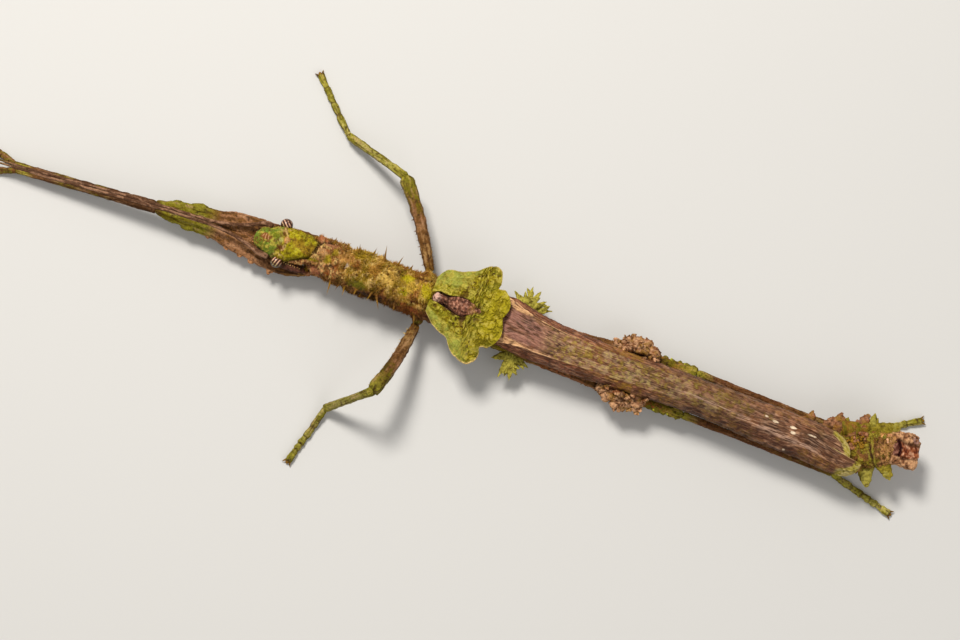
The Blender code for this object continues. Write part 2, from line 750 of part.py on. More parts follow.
def build_leg(name, group, body):
    kind, side = name.split("_")
    leg = LEGS[name]
    root, hip, knee, ankle, toe = (Vector(p) for p in (leg.root, leg.hip, leg.knee, leg.ankle, leg.toe))
    coxa_half, femur_half, tibia_half = LEG_SIZES[kind]
    bends = [Vector(p) for p in leg.bends]
    femur_first, femur_last = bends[0], bends[-1]

    def limb(segment, path, halves, ends, tallest=math.inf):
        rings = limb_rings(path, halves, 8, 2.4, *ends, tallest)
        node = f"{kind}_{segment}_{side}"
        return add_object(node, mesh_of(node, *skin(rings)), group, kind)

    def taper(sizes, count):
        """Half widths along a path, straight from each size to the next."""
        spans = len(sizes) - 1
        halves = []
        for k in range(count):
            place = spans * k / (count - 1)
            span = min(int(place), spans - 1)
            halves.append(sizes[span] + (sizes[span + 1] - sizes[span]) * (place - span))
        return halves

    hip_end = joint_plane(root, hip, femur_first, -HALF_GAP)
    hip_start = joint_plane(root, hip, femur_first, HALF_GAP)
    knee_end = joint_plane(femur_last, knee, ankle, -HALF_GAP)
    knee_start = joint_plane(femur_last, knee, ankle, HALF_GAP)
    ankle_end = joint_plane(knee, ankle, toe, -HALF_GAP)
    ankle_start = joint_plane(knee, ankle, toe, HALF_GAP)

    coxa_path = smooth_path([root, hip], 2)
    limb("coxa", coxa_path, taper(coxa_half, len(coxa_path)), (None, hip_end))
    past = root - (hip - root).normalized() * 2 * GAP
    cutter_rings = limb_rings([past, hip], [coxa_half[0] + GAP, coxa_half[1] + GAP], 8, 2.4)
    socket = bpy.data.objects.new("socket", mesh_of("socket", *skin(cutter_rings)))
    group.objects.link(socket)
    combine(body, [socket], "DIFFERENCE")

    femur_knots = [hip] + bends + [knee]
    femur_path = smooth_path(femur_knots, 3)
    tallest = FORE_FEMUR_TALL if kind == "fore" else math.inf
    femur = limb("femur", femur_path, taper(femur_half, len(femur_path)), (hip_start, knee_end), tallest)
    combine(femur, femur_forms(kind, side, femur_knots, group), "UNION")
    tibia_path = smooth_path([knee, ankle], 8)
    limb("tibia", tibia_path, taper(tibia_half, len(tibia_path)), (knee_start, ankle_end))
    build_tarsus(f"{kind}_tarsus_{side}", kind, ankle, toe, ankle_start, group)


def femur_forms(kind, side, knots, group):
    """The lobes and teeth of a femur: green lobes, a star near the base, pale lumps, knee lobes."""
    sign = SIDES[side]
    if kind == "fore":
        return limb_lobes(knots, FORE_LOBES[side], sign, group)
    if kind == "mid":
        return limb_lobes(knots, MID_TEETH, sign, group, half=0.3, flat=1.0)
    forms = star_lobes(knots, sign, group)
    forms += limb_lobes(knots, LUMPS, sign, group, half=0.55, flat=0.8, blunt=0.6)
    return forms + limb_lobes(knots, KNEE_LOBES, sign, group)


def build_tarsus(name, kind, ankle, toe, start_plane, group):
    """A foot of five swollen segments and two claws, flat where it touches z = 0."""
    path = []
    halves = []
    before = 0.0
    for end in TARSOMERES:
        for share, half in TARSOMERE_RINGS:
            t = before + (end - before) * share
            path.append(ankle + (toe - ankle) * t)
            halves.append(half)
        before = end
    path[0] = ankle
    path.append(toe)
    halves.append(TARSUS_HALF)
    for point in path[3:]:
        point.z = toe.z
    rings = limb_rings(path, halves, 8, 2.0, start_plane)
    foot = add_object(name, mesh_of(name, *skin(rings)), group, kind)
    along = (toe - path[-2]).normalized()
    across = Vector((0, 0, 1)).cross(along).normalized()
    claws = []
    for sign in (-1, 1):
        ends = []
        for forth, aside, rise in (CLAW_ROOT, CLAW_TIP):
            ends.append(toe + along * forth + across * sign * aside + Vector((0, 0, rise)))
        claws.append(cone("claw", *ends, CLAW_HALF, group, blunt=0.4))
    combine(foot, claws, "UNION")
    for vertex in foot.data.vertices:
        vertex.co.z = max(vertex.co.z, 0.0)
    return foot


def main():
    clear_scene()
    insect = new_collection("neoclides_stick_insect")
    build_head(insect)
    build_antennae(insect)
    thorax = build_thorax(insect)
    build_abdomen(insect)
    build_last_segment(insect)
    build_tegmina(insect)
    build_hindwings(insect)
    carriers = {"fore": "prothorax", "mid": "mesothorax", "hind": "metathorax"}
    for name in LEGS:
        build_leg(name, insect, thorax[carriers[name.split("_")[0]]])


main()
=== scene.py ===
"""Looks of the neoclides stick insect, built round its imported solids.

Numbers are millimetres in the part's own frame unless they say otherwise: the head points to
-X, the insect's right side is +Y, +Z is up and the feet stand on z = 0. MM turns them into metres.
"""
import math

import bpy
import numpy as np
from mathutils import Matrix, Vector


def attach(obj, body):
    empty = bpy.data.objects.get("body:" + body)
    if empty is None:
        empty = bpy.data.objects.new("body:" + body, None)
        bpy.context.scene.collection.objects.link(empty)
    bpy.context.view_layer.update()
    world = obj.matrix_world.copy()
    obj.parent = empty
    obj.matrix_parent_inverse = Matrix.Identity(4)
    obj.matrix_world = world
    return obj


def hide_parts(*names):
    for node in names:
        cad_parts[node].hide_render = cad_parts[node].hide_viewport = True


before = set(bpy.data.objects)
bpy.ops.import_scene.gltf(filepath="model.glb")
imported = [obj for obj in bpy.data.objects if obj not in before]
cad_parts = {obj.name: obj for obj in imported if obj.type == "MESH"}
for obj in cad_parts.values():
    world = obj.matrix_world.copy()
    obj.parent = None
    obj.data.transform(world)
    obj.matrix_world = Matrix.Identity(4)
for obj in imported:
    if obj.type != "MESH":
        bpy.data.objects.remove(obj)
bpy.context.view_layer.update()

MM = 0.001
RNG = np.random.default_rng(11)
SIDES = {"left": -1, "right": 1}

# Body sections as (x, y, z, half width, height above, depth below), inside the solids by the coat
BODY = [
    (-21.90, 0.88, 3.75, 0.62, 0.42, 0.50),
    (-21.60, 0.90, 3.78, 1.00, 0.72, 0.88),
    (-21.20, 0.92, 3.80, 1.24, 0.92, 1.12),
    (-20.00, 1.00, 3.80, 1.64, 1.22, 1.34),
    (-18.60, 1.10, 3.80, 2.08, 1.44, 1.40),
    (-17.00, 1.20, 3.80, 2.00, 1.60, 1.40),
    (-15.60, 1.30, 3.75, 1.80, 1.55, 1.35),
    (-14.90, 1.33, 3.70, 1.62, 1.42, 1.22),
    (-14.60, 1.32, 3.65, 1.76, 1.65, 1.40),
    (-13.90, 1.30, 3.60, 2.20, 1.90, 1.75),
    (-12.60, 1.20, 3.60, 2.34, 1.95, 1.90),
    (-11.00, 1.05, 3.60, 2.38, 2.08, 1.90),
    (-10.35, 1.00, 3.62, 2.30, 2.08, 1.90),
    (-9.40, 0.97, 3.70, 2.52, 2.40, 2.15),
    (-7.00, 0.98, 3.75, 2.47, 2.50, 2.15),
    (-4.50, 0.95, 3.80, 2.42, 2.60, 2.15),
    (-2.00, 0.92, 3.80, 2.57, 2.70, 2.25),
    (0.30, 0.90, 3.80, 2.75, 2.60, 2.30),
    (1.60, 0.92, 3.60, 2.62, 2.10, 2.10),
    (3.20, 0.93, 3.45, 2.60, 1.40, 1.95),
    (6.00, 0.95, 3.40, 2.42, 1.28, 1.85),
    (9.30, 0.90, 3.40, 1.75, 1.32, 1.76),
    (14.0, 0.72, 3.35, 1.46, 1.55, 1.76),
    (20.0, 0.68, 3.30, 1.46, 1.55, 1.76),
    (34.0, 0.72, 3.30, 1.50, 1.55, 1.66),
    (45.0, 0.50, 3.45, 1.55, 1.45, 1.56),
    (50.0, 0.65, 3.55, 1.56, 1.35, 1.46),
    (52.2, 1.15, 3.75, 1.90, 1.30, 1.44),
    (53.4, 1.45, 3.85, 2.30, 1.45, 1.42),
    (54.6, 1.75, 3.95, 2.50, 1.85, 1.42),
    (56.0, 2.20, 4.10, 2.30, 1.62, 1.32),
    (57.2, 2.50, 4.25, 1.90, 1.25, 1.16),
    (57.6, 2.60, 4.28, 1.30, 0.90, 0.90),
]
# Grooves round the body as (x, depth share, half length)
GROOVES = [(-14.90, 0.07, 0.30), (-12.9, 0.04, 0.25), (-10.35, 0.08, 0.28), (0.5, 0.06, 0.3)]
GROOVES += [(x, 0.06, 0.22) for x in (9.45, 15.8, 22.4, 29.0, 35.6, 42.0, 47.6, 52.2, 54.0)]
BODY_POWER = 2.3
# The head's rear edge on top, a V that points back, as (x, y)
NAPE = [(-17.3, -0.80), (-15.7, 0.02), (-14.70, 0.55), (-14.55, 1.30), (-14.25, 2.50), (-15.3, 3.15), (-16.6, 3.65)]
COLLAR = [(-14.18, 1.18), (-14.25, 2.04), (-13.64, 2.77), (-12.42, 3.22)]

# The pale line across the head from eye to eye, as (x, y)
BROW = [(-18.60, 3.00), (-18.15, 2.20), (-17.95, 1.50), (-18.00, 0.60), (-18.20, -0.50)]

# Warts and ridges of the skin as (x, y, z, radius, height)
WARTS = [
    (-18.70, 2.75, 4.90, 0.50, 0.28), (-18.30, -0.60, 4.90, 0.50, 0.28),
    (-17.90, 1.30, 5.30, 0.45, 0.22), (-16.50, 2.30, 5.20, 0.38, 0.34),
    (-16.30, 0.40, 5.20, 0.38, 0.34), (-15.40, 2.00, 5.10, 0.34, 0.34),
    (-15.30, 0.80, 5.10, 0.34, 0.34), (-21.00, 1.50, 4.40, 0.30, 0.22),
    (-20.90, 0.40, 4.40, 0.30, 0.22), (-14.10, 3.25, 4.70, 0.42, 0.45),
    (-13.90, -0.60, 4.70, 0.42, 0.45), (-13.20, 2.30, 5.40, 0.36, 0.36),
    (-13.10, 0.20, 5.40, 0.36, 0.36), (-11.50, 2.60, 5.30, 0.40, 0.38),
    (-11.40, -0.50, 5.30, 0.40, 0.38), (-11.60, 1.05, 5.60, 0.35, 0.25),
    (-9.10, 1.90, 5.90, 0.42, 0.34), (-9.00, 0.10, 5.90, 0.42, 0.34),
    (-6.90, 2.00, 6.10, 0.45, 0.30), (-6.80, 0.00, 6.10, 0.45, 0.34),
    (-4.60, 1.90, 6.20, 0.45, 0.30), (-4.50, 0.00, 6.20, 0.45, 0.30),
    (-2.40, 1.80, 6.30, 0.48, 0.26), (-2.30, 0.10, 6.30, 0.48, 0.26),
    (-0.60, 0.90, 6.40, 0.90, 0.26),
]

# Long thorns as (root x, root y, tip x, tip y, rise)
THORNS = [
    (-12.6, 3.0, -12.5, 3.9, 0.4), (-10.9, 3.0, -11.0, 3.8, 0.4), (-9.4, 3.0, -9.6, 4.0, 0.4),
    (-7.8, 3.1, -7.6, 4.3, 0.4), (-6.3, 3.1, -6.6, 5.0, 0.5), (-4.7, 3.1, -4.3, 4.4, 0.4),
    (-3.1, 3.2, -2.9, 3.9, 0.3), (-11.5, -0.9, -11.3, -3.0, 0.2), (-10.4, -1.0, -10.6, -2.1, 0.1),
    (-9.7, -1.0, -9.5, -2.5, 0.2), (-8.2, -1.1, -8.3, -2.0, 0.2), (-6.3, -0.8, -6.6, -2.2, 0.4),
    (-5.8, -0.9, -4.9, -2.6, 0.3), (-3.4, -1.2, -3.2, -2.2, 0.2), (-0.8, -1.6, -0.4, -3.0, 0.2),
    (-8.6, 0.4, -8.9, 0.2, 0.9), (-5.2, 1.6, -5.3, 1.8, 0.9), (-2.9, 0.5, -2.8, 0.3, 0.8),
]

# Folded hindwings as (x, middle y, half width, top z, edge z), and the ellipse of their tips
HINDWINGS = [
    (0.7, 0.95, 1.20, 5.60, 5.50),
    (3.0, 1.00, 1.90, 5.70, 5.40),
    (6.5, 1.05, 2.60, 5.75, 5.20),
    (9.5, 1.30, 3.00, 5.85, 4.90),
    (11.5, 1.05, 2.95, 6.20, 4.60),
    (14.0, 0.75, 2.80, 6.40, 4.40),
    (17.0, 0.60, 2.58, 6.40, 4.30),
    (22.0, 0.60, 2.40, 6.35, 4.30),
    (34.0, 0.72, 2.20, 6.30, 4.30),
    (42.0, 0.42, 2.40, 6.30, 4.40),
    (47.0, 0.30, 2.45, 6.30, 4.50),
    (50.0, 0.05, 2.45, 6.30, 4.65),
    (51.5, -0.10, 2.40, 6.30, 4.90),
]
# Where each wing's tip starts to round off and how far it reaches past that
WING_TIPS = {"left": (51.5, 2.7), "right": (49.9, 2.75)}
# White spots of the wings as (x, y, half length, half width)
WING_SPOTS = [(43.2, 0.86, 0.42, 0.16), (45.3, 0.89, 0.44, 0.20), (45.5, 0.28, 0.36, 0.17),
              (47.7, 0.72, 0.62, 0.09), (42.0, 1.12, 0.22, 0.12), (45.2, -1.80, 0.14, 0.10)]

# Forewings as the lines of their inner and outer edges, and the mound between them
TEGMINA = {
    "left": (
        [(0.4, 0.55), (1.3, 0.45), (2.3, 0.20), (3.6, -0.15), (4.3, -0.20), (4.9, 0.00), (5.7, 0.60),
         (6.3, 1.20), (7.1, 1.65), (8.2, 1.80), (9.2, 1.75)],
        [(0.4, -0.90), (1.3, -1.80), (2.3, -2.50), (3.6, -3.00), (4.2, -3.70), (4.9, -4.50),
         (5.8, -4.90), (6.6, -5.12), (7.2, -5.00), (7.8, -4.30), (7.95, -3.50), (7.75, -2.80),
         (8.15, -2.62), (8.7, -2.50), (9.3, -1.80), (9.7, -0.90), (9.6, 0.20), (9.3, 1.10)],
    ),
    "right": (
        [(0.4, 1.45), (1.3, 1.80), (2.5, 1.75), (4.2, 2.05), (5.1, 1.85), (5.7, 1.60), (6.3, 1.30),
         (7.1, 1.15), (8.3, 1.10), (9.1, 1.20)],
        [(0.4, 3.40), (1.2, 4.55), (2.6, 4.90), (4.2, 5.50), (5.1, 6.20), (5.7, 6.70), (6.6, 6.95),
         (7.3, 6.50), (7.7, 5.20), (7.6, 4.50), (7.95, 4.45), (8.5, 4.50), (9.3, 3.70), (9.6, 2.50),
         (9.3, 1.50)],
    ),
}
TEGMEN_TOP = 6.70
# A raised fold across each forewing, as (x, y)
FOLDS = {"left": [(1.9, -0.1), (4.6, -1.7), (6.7, -3.6)], "right": [(2.0, 3.0), (4.6, 3.4), (6.6, 5.4)]}
# Middle lines of the dark nets on the lobes
NETS = {"left": [(4.3, -0.8), (5.6, -2.2), (6.8, -4.2)], "right": [(4.9, 3.6), (6.6, 6.2)]}
# The mound as (x, middle y, half width)
MOUND = [(0.6, 1.05, 0.20), (1.15, 1.03, 0.56), (1.8, 1.10, 0.46), (2.4, 1.10, 0.56), (3.2, 1.15, 0.95),
         (4.2, 1.12, 1.12), (5.3, 1.05, 0.90), (6.6, 1.15, 0.25)]

EYE_RADIUS = 0.74
EYES = {"left": (-18.35, -1.20, 4.25), "right": (-18.75, 3.38, 4.25)}

# Legs as root, hip, bends of the femur, knee, ankle and toe
TOE_HEIGHT = 0.33
ANKLE_HEIGHT = 0.85
LEGS = {
    "fore_right": [(-13.0, 2.35, 2.45), (-14.7, 3.10, 2.20),
                   [(-18.3, 2.72, 1.95), (-22.2, 2.02, 1.95), (-24.7, 1.90, 2.15), (-27.2, 1.56, 2.30),
                    (-29.7, 1.43, 2.40), (-32.2, 1.08, 2.50)],
                   (-34.7, 0.60, 2.60), (-52.6, -0.46, ANKLE_HEIGHT), (-60.2, 1.70, TOE_HEIGHT)],
    "fore_left": [(-13.0, 0.15, 2.45), (-14.7, -0.75, 2.20),
                  [(-17.6, -1.48, 1.95), (-20.2, -1.20, 1.95), (-22.2, -0.54, 1.98), (-24.7, -0.32, 2.15),
                   (-27.2, -0.16, 2.30), (-29.7, -0.15, 2.38), (-32.2, -0.20, 2.45)],
                  (-34.4, -0.17, 2.50), (-52.2, -1.14, ANKLE_HEIGHT), (-59.7, -3.60, TOE_HEIGHT)],
    "mid_right": [(-0.5, 2.60, 2.50), (-0.9, 4.05, 2.80), [(-4.3, 9.55, 4.00)],
                  (-7.5, 13.60, 4.70), (-16.0, 16.55, ANKLE_HEIGHT), (-22.0, 22.60, TOE_HEIGHT)],
    "mid_left": [(-0.5, -0.90, 2.50), (-0.3, -2.40, 2.90), [(-0.9, -7.70, 5.90)],
                 (-2.05, -12.00, 8.00), (-7.1, -15.30, ANKLE_HEIGHT), (-9.2, -22.75, TOE_HEIGHT)],
    "hind_right": [(7.3, 2.30, 2.60), (8.7, 3.25, 2.45), [(18.0, 2.85, 2.40), (24.0, 3.30, 2.60)],
                   (33.0, 3.50, 2.80), (52.8, 3.20, ANKLE_HEIGHT), (60.15, 7.60, TOE_HEIGHT)],
    "hind_left": [(7.3, -0.45, 2.60), (8.7, -1.40, 2.45), [(18.0, -1.60, 2.40), (24.0, -1.90, 2.60)],
                  (33.0, -1.75, 2.65), (51.9, -2.05, ANKLE_HEIGHT), (60.0, -4.20, TOE_HEIGHT)],
}
# Half width of coxa, femur and tibia, from the body outwards
LEG_SIZES = {
    "fore": [(0.75, 0.65), (0.62, 0.74, 0.90, 1.24, 1.22, 0.88, 0.80, 0.64, 0.42), (0.37, 0.34)],
    "mid": [(0.70, 0.62), (0.55, 0.66, 0.72, 0.78, 0.86), (0.50, 0.48)],
    "hind": [(0.80, 0.68), (0.54, 0.62, 0.60, 0.55, 0.60), (0.42, 0.38)],
}
TARSOMERES = [0.36, 0.54, 0.67, 0.78, 1.0]
TARSUS_HALF = 0.45

# The fore femora are flattened, about this high at each half width
FORE_FEMUR_TALL = 0.56

# Feelers as points of their lines and the half width at each
ANTENNA_HALF = [0.28, 0.25, 0.22, 0.20, 0.20, 0.19, 0.18, 0.17, 0.15, 0.07]
ANTENNA_LINES = {
    "left": [(-20.9, -0.80, 3.85), (-22.1, -0.45, 3.75), (-23.5, -0.08, 3.80), (-25.0, 0.18, 3.92),
             (-27.2, 0.34, 4.05), (-30.0, 0.22, 4.10), (-34.0, 0.08, 4.05), (-42.0, -0.40, 3.20),
             (-50.0, -0.92, 2.40), (-58.5, -1.25, 2.00)],
    "right": [(-21.1, 2.77, 3.72), (-22.2, 2.30, 3.45), (-23.7, 1.75, 3.25), (-25.3, 1.28, 3.22),
              (-27.2, 0.88, 3.40), (-30.0, 0.69, 3.46), (-34.0, 0.50, 3.42), (-42.0, 0.02, 2.75),
              (-50.0, -0.52, 1.85), (-58.5, -0.85, 1.30)],
}
ANTENNA_ROOTS = {"left": (-19.5, -0.92, 4.0), "right": (-20.2, 2.60, 4.0)}


def linear(*rgb):
    """A display colour from 0 to 255 as the shader's linear colour."""
    c = np.array(rgb, float) / 255
    return np.where(c <= 0.04045, c / 12.92, ((c + 0.055) / 1.055) ** 2.4)


TEAL = linear(112, 128, 40)
LIME = linear(160, 146, 12)
MOSS = linear(116, 102, 12)
OLIVE = linear(144, 106, 28)
BARK = linear(112, 74, 34)
UMBER = linear(56, 33, 13)
RUST = linear(138, 72, 32)
ROSE = linear(182, 126, 76)
CREAM = linear(214, 184, 114)
LEAF = linear(172, 160, 62)
PLUM = linear(126, 88, 58)
PLUM_DARK = linear(74, 46, 30)
LILAC = linear(176, 134, 100)
KHAKI = linear(152, 124, 62)
STRIP = linear(96, 54, 30)
KNOB = linear(206, 164, 146)
EYE_DARK = linear(66, 32, 18)
EYE_PALE = linear(222, 174, 140)


def ramp(x, low, high):
    """0 below low, 1 above high, smooth between them."""
    t = np.clip((x - low) / (high - low), 0, 1)
    return t * t * (3 - 2 * t)


def blend(a, b, share):
    return a * (1 - share[..., None]) + b * share[..., None]


def hashed(i, j, k, seed):
    """A random number from 0 to 1 for a cell of a lattice."""
    h = (i * 374761393 + j * 668265263 + k * 1440662683 + seed * 974634777) & 0xFFFFFFFF
    h = ((h ^ (h >> 13)) * 1274126177) & 0xFFFFFFFF
    h = h ^ (h >> 16)
    return (h & 0xFFFFFF) / 0xFFFFFF


def value_noise(p, size, seed=0):
    """Smooth noise from 0 to 1, its lumps about as wide as size, one number or one an axis."""
    q = p / np.asarray(size, float)
    base = np.floor(q).astype(np.int64)
    f = q - base
    f = f * f * (3 - 2 * f)
    total = np.zeros(p.shape[:-1])
    for dx in (0, 1):
        for dy in (0, 1):
            for dz in (0, 1):
                weight = np.ones(p.shape[:-1])
                for axis, d in enumerate((dx, dy, dz)):
                    weight = weight * (f[..., axis] if d else 1 - f[..., axis])
                total += weight * hashed(base[..., 0] + dx, base[..., 1] + dy, base[..., 2] + dz, seed)
    return total


def fractal(p, size, octaves=4, seed=0):
    total, gain, weight = 0.0, 1.0, 0.0
    for k in range(octaves):
        total = total + gain * value_noise(p, np.asarray(size, float) / 2**k, seed + 31 * k)
        weight += gain
        gain *= 0.55
    return total / weight


def cells(p, size, seed=0):
    """Distance to the nearest and next scattered point in parts of size, and the nearest's number."""
    q = p / np.asarray(size, float)
    base = np.floor(q).astype(np.int64)
    near = np.full(p.shape[:-1], 9.0)
    second = near.copy()
    label = np.zeros(p.shape[:-1])
    for dx in (-1, 0, 1):
        for dy in (-1, 0, 1):
            for dz in (-1, 0, 1):
                i, j, k = (base[..., a] + d for a, d in enumerate((dx, dy, dz)))
                spot = np.stack([i + hashed(i, j, k, seed + 1), j + hashed(i, j, k, seed + 2),
                                 k + hashed(i, j, k, seed + 3)], -1)
                away = np.linalg.norm(q - spot, axis=-1)
                closer = away < near
                second = np.where(closer, near, np.minimum(second, away))
                label = np.where(closer, hashed(i, j, k, seed + 4), label)
                near = np.where(closer, away, near)
    return near, second, label


def rows_at(rows, xs):
    """Smooth values at xs through rows whose first value is x."""
    table = np.array(rows, float)
    keys = table[:, 0]
    low = np.clip(np.searchsorted(keys, xs, side="right") - 1, 0, len(keys) - 2)
    t = np.clip((xs - keys[low]) / (keys[low + 1] - keys[low]), 0, 1)[:, None]
    a, b, c, d = (table[np.clip(low + k, 0, len(keys) - 1)] for k in (-1, 0, 1, 2))
    return 0.5 * (2 * b + (c - a) * t + (2 * a - 5 * b + 4 * c - d) * t**2 + (3 * b - a - 3 * c + d) * t**3)


def smooth_line(knots, count):
    """count points on the smooth line through knots, spaced evenly by knot."""
    knots = np.array(knots, float)
    rows = np.column_stack([np.arange(len(knots)), knots])
    return rows_at(rows, np.linspace(0, len(knots) - 1, count))[:, 1:]


def even_line(knots, step):
    """Points on the smooth line through knots, about step apart."""
    fine = smooth_line(knots, 60 * len(knots))
    run = np.concatenate([[0], np.cumsum(np.linalg.norm(np.diff(fine, axis=0), axis=1))])
    count = max(4, int(run[-1] / step) + 1)
    places = np.linspace(0, run[-1], count)
    return np.column_stack([np.interp(places, run, fine[:, a]) for a in range(fine.shape[1])])


def new_object(name, points, faces, colours=None, uvs=None):
    """A mesh object from points in millimetres and arrays of faces, with a colour at each point."""
    mesh = bpy.data.meshes.new(name)
    points = np.asarray(points, float).reshape(-1, 3)
    faces = [np.asarray(f, np.int64) for f in faces if len(f)]
    sizes = np.concatenate([np.full(len(f), f.shape[1]) for f in faces])
    loops = np.concatenate([f.ravel() for f in faces])
    mesh.vertices.add(len(points))
    mesh.vertices.foreach_set("co", (points * MM).ravel())
    mesh.loops.add(len(loops))
    mesh.loops.foreach_set("vertex_index", loops.astype(np.int32))
    mesh.polygons.add(len(sizes))
    mesh.polygons.foreach_set("loop_start", np.concatenate([[0], np.cumsum(sizes)[:-1]]).astype(np.int32))
    mesh.update(calc_edges=True)
    mesh.validate()
    if colours is not None:
        tint = mesh.color_attributes.new("tint", "FLOAT_COLOR", "POINT")
        rgba = np.column_stack([np.asarray(colours, float).reshape(-1, 3), np.ones(len(points))])
        tint.data.foreach_set("color", np.clip(rgba, 0.0, 1.0).ravel())
    if uvs is not None:
        layer = mesh.uv_layers.new(name="OFBake")
        layer.data.foreach_set("uv", np.asarray(uvs, float)[loops].ravel())
    mesh.shade_smooth()
    made = bpy.data.objects.new(name, mesh)
    bpy.context.scene.collection.objects.link(made)
    return made


class Shape:
    """Points, faces and colours gathered from several closed forms, for one joined mesh."""

    def __init__(self):
        self.points, self.quads, self.tris, self.colours, self.uvs, self.count = [], [], [], [], [], 0

    def add(self, points, quads, tris, colours, uvs=None):
        points = np.asarray(points, float).reshape(-1, 3)
        self.points.append(points)
        if len(quads):
            self.quads.append(np.asarray(quads) + self.count)
        if len(tris):
            self.tris.append(np.asarray(tris) + self.count)
        self.colours.append(np.broadcast_to(np.asarray(colours, float), (len(points), 3)))
        if uvs is not None:
            self.uvs.append(uvs)
        self.count += len(points)

    def build(self, name):
        faces = []
        if self.quads:
            faces.append(np.concatenate(self.quads))
        if self.tris:
            faces.append(np.concatenate(self.tris))
        uvs = np.concatenate(self.uvs) if self.uvs else None
        return new_object(name, np.concatenate(self.points), faces, np.concatenate(self.colours), uvs)


def tube_faces(n, m):
    """Faces of n rings of m points, closed by a fan at each end round two added points."""
    index = np.arange(n * m).reshape(n, m)
    a, b = index[:-1], np.roll(index, -1, axis=1)[:-1]
    c, d = np.roll(index, -1, axis=1)[1:], index[1:]
    quads = np.stack([a, d, c, b], -1).reshape(-1, 4)
    first, last = index[0], index[-1]
    caps = [np.stack([np.full(m, n * m), first, np.roll(first, -1)], -1)]
    caps.append(np.stack([np.full(m, n * m + 1), np.roll(last, -1), last], -1))
    return quads, np.concatenate(caps)


def close_rings(rings):
    """Ring points followed by the middles of both ends."""
    flat = rings.reshape(-1, 3)
    return np.concatenate([flat, rings[:1].mean(1), rings[-1:].mean(1)])


def close_colours(colours):
    flat = colours.reshape(-1, 3)
    return np.concatenate([flat, colours[:1].mean(1), colours[-1:].mean(1)])


def outwards(rings):
    """Unit normals of closed rings of points."""
    along = np.gradient(rings, axis=0)
    around = np.roll(rings, -1, axis=1) - np.roll(rings, 1, axis=1)
    normal = np.cross(around, along)
    normal /= np.linalg.norm(normal, axis=-1, keepdims=True) + 1e-9
    middle = rings.mean(1, keepdims=True)
    facing = np.sum(normal * (rings - middle), axis=-1, keepdims=True)
    return normal * np.where(facing < 0, -1.0, 1.0)


def frames(path):
    """Side and up directions along a path, the side kept level."""
    along = np.gradient(path, axis=0)
    along /= np.linalg.norm(along, axis=1, keepdims=True)
    side = np.cross(np.array([0.0, 0.0, 1.0]), along)
    side /= np.linalg.norm(side, axis=1, keepdims=True) + 1e-9
    return side, np.cross(along, side)


def limb(path, halves, count, power=2.4, flat=1.0, keel=0.0):
    """Rings round a path, with rounded ends and optional keels at four corners."""
    side, up = frames(path)
    run = np.concatenate([[0], np.cumsum(np.linalg.norm(np.diff(path, axis=0), axis=1))])
    halves = np.broadcast_to(np.asarray(halves, float), (len(path),)).copy()
    ends = np.minimum(run, run[-1] - run)
    halves = halves * np.sqrt(np.clip(1 - (1 - np.clip(ends / (0.8 * halves), 0, 1)) ** 2, 0.02, 1))
    angle = 2 * np.pi * (np.arange(count) + 0.5) / count
    c, s = np.cos(angle), np.sin(angle)
    swell = 1 + keel * np.maximum(0, -np.cos(4 * angle)) ** 3
    across = np.sign(c) * np.abs(c) ** (2 / power) * swell
    height = np.sign(s) * np.abs(s) ** (2 / power) * swell
    return (path[:, None] + side[:, None] * (halves[:, None] * across)[..., None]
            + up[:, None] * ((halves * flat)[:, None] * height)[..., None])


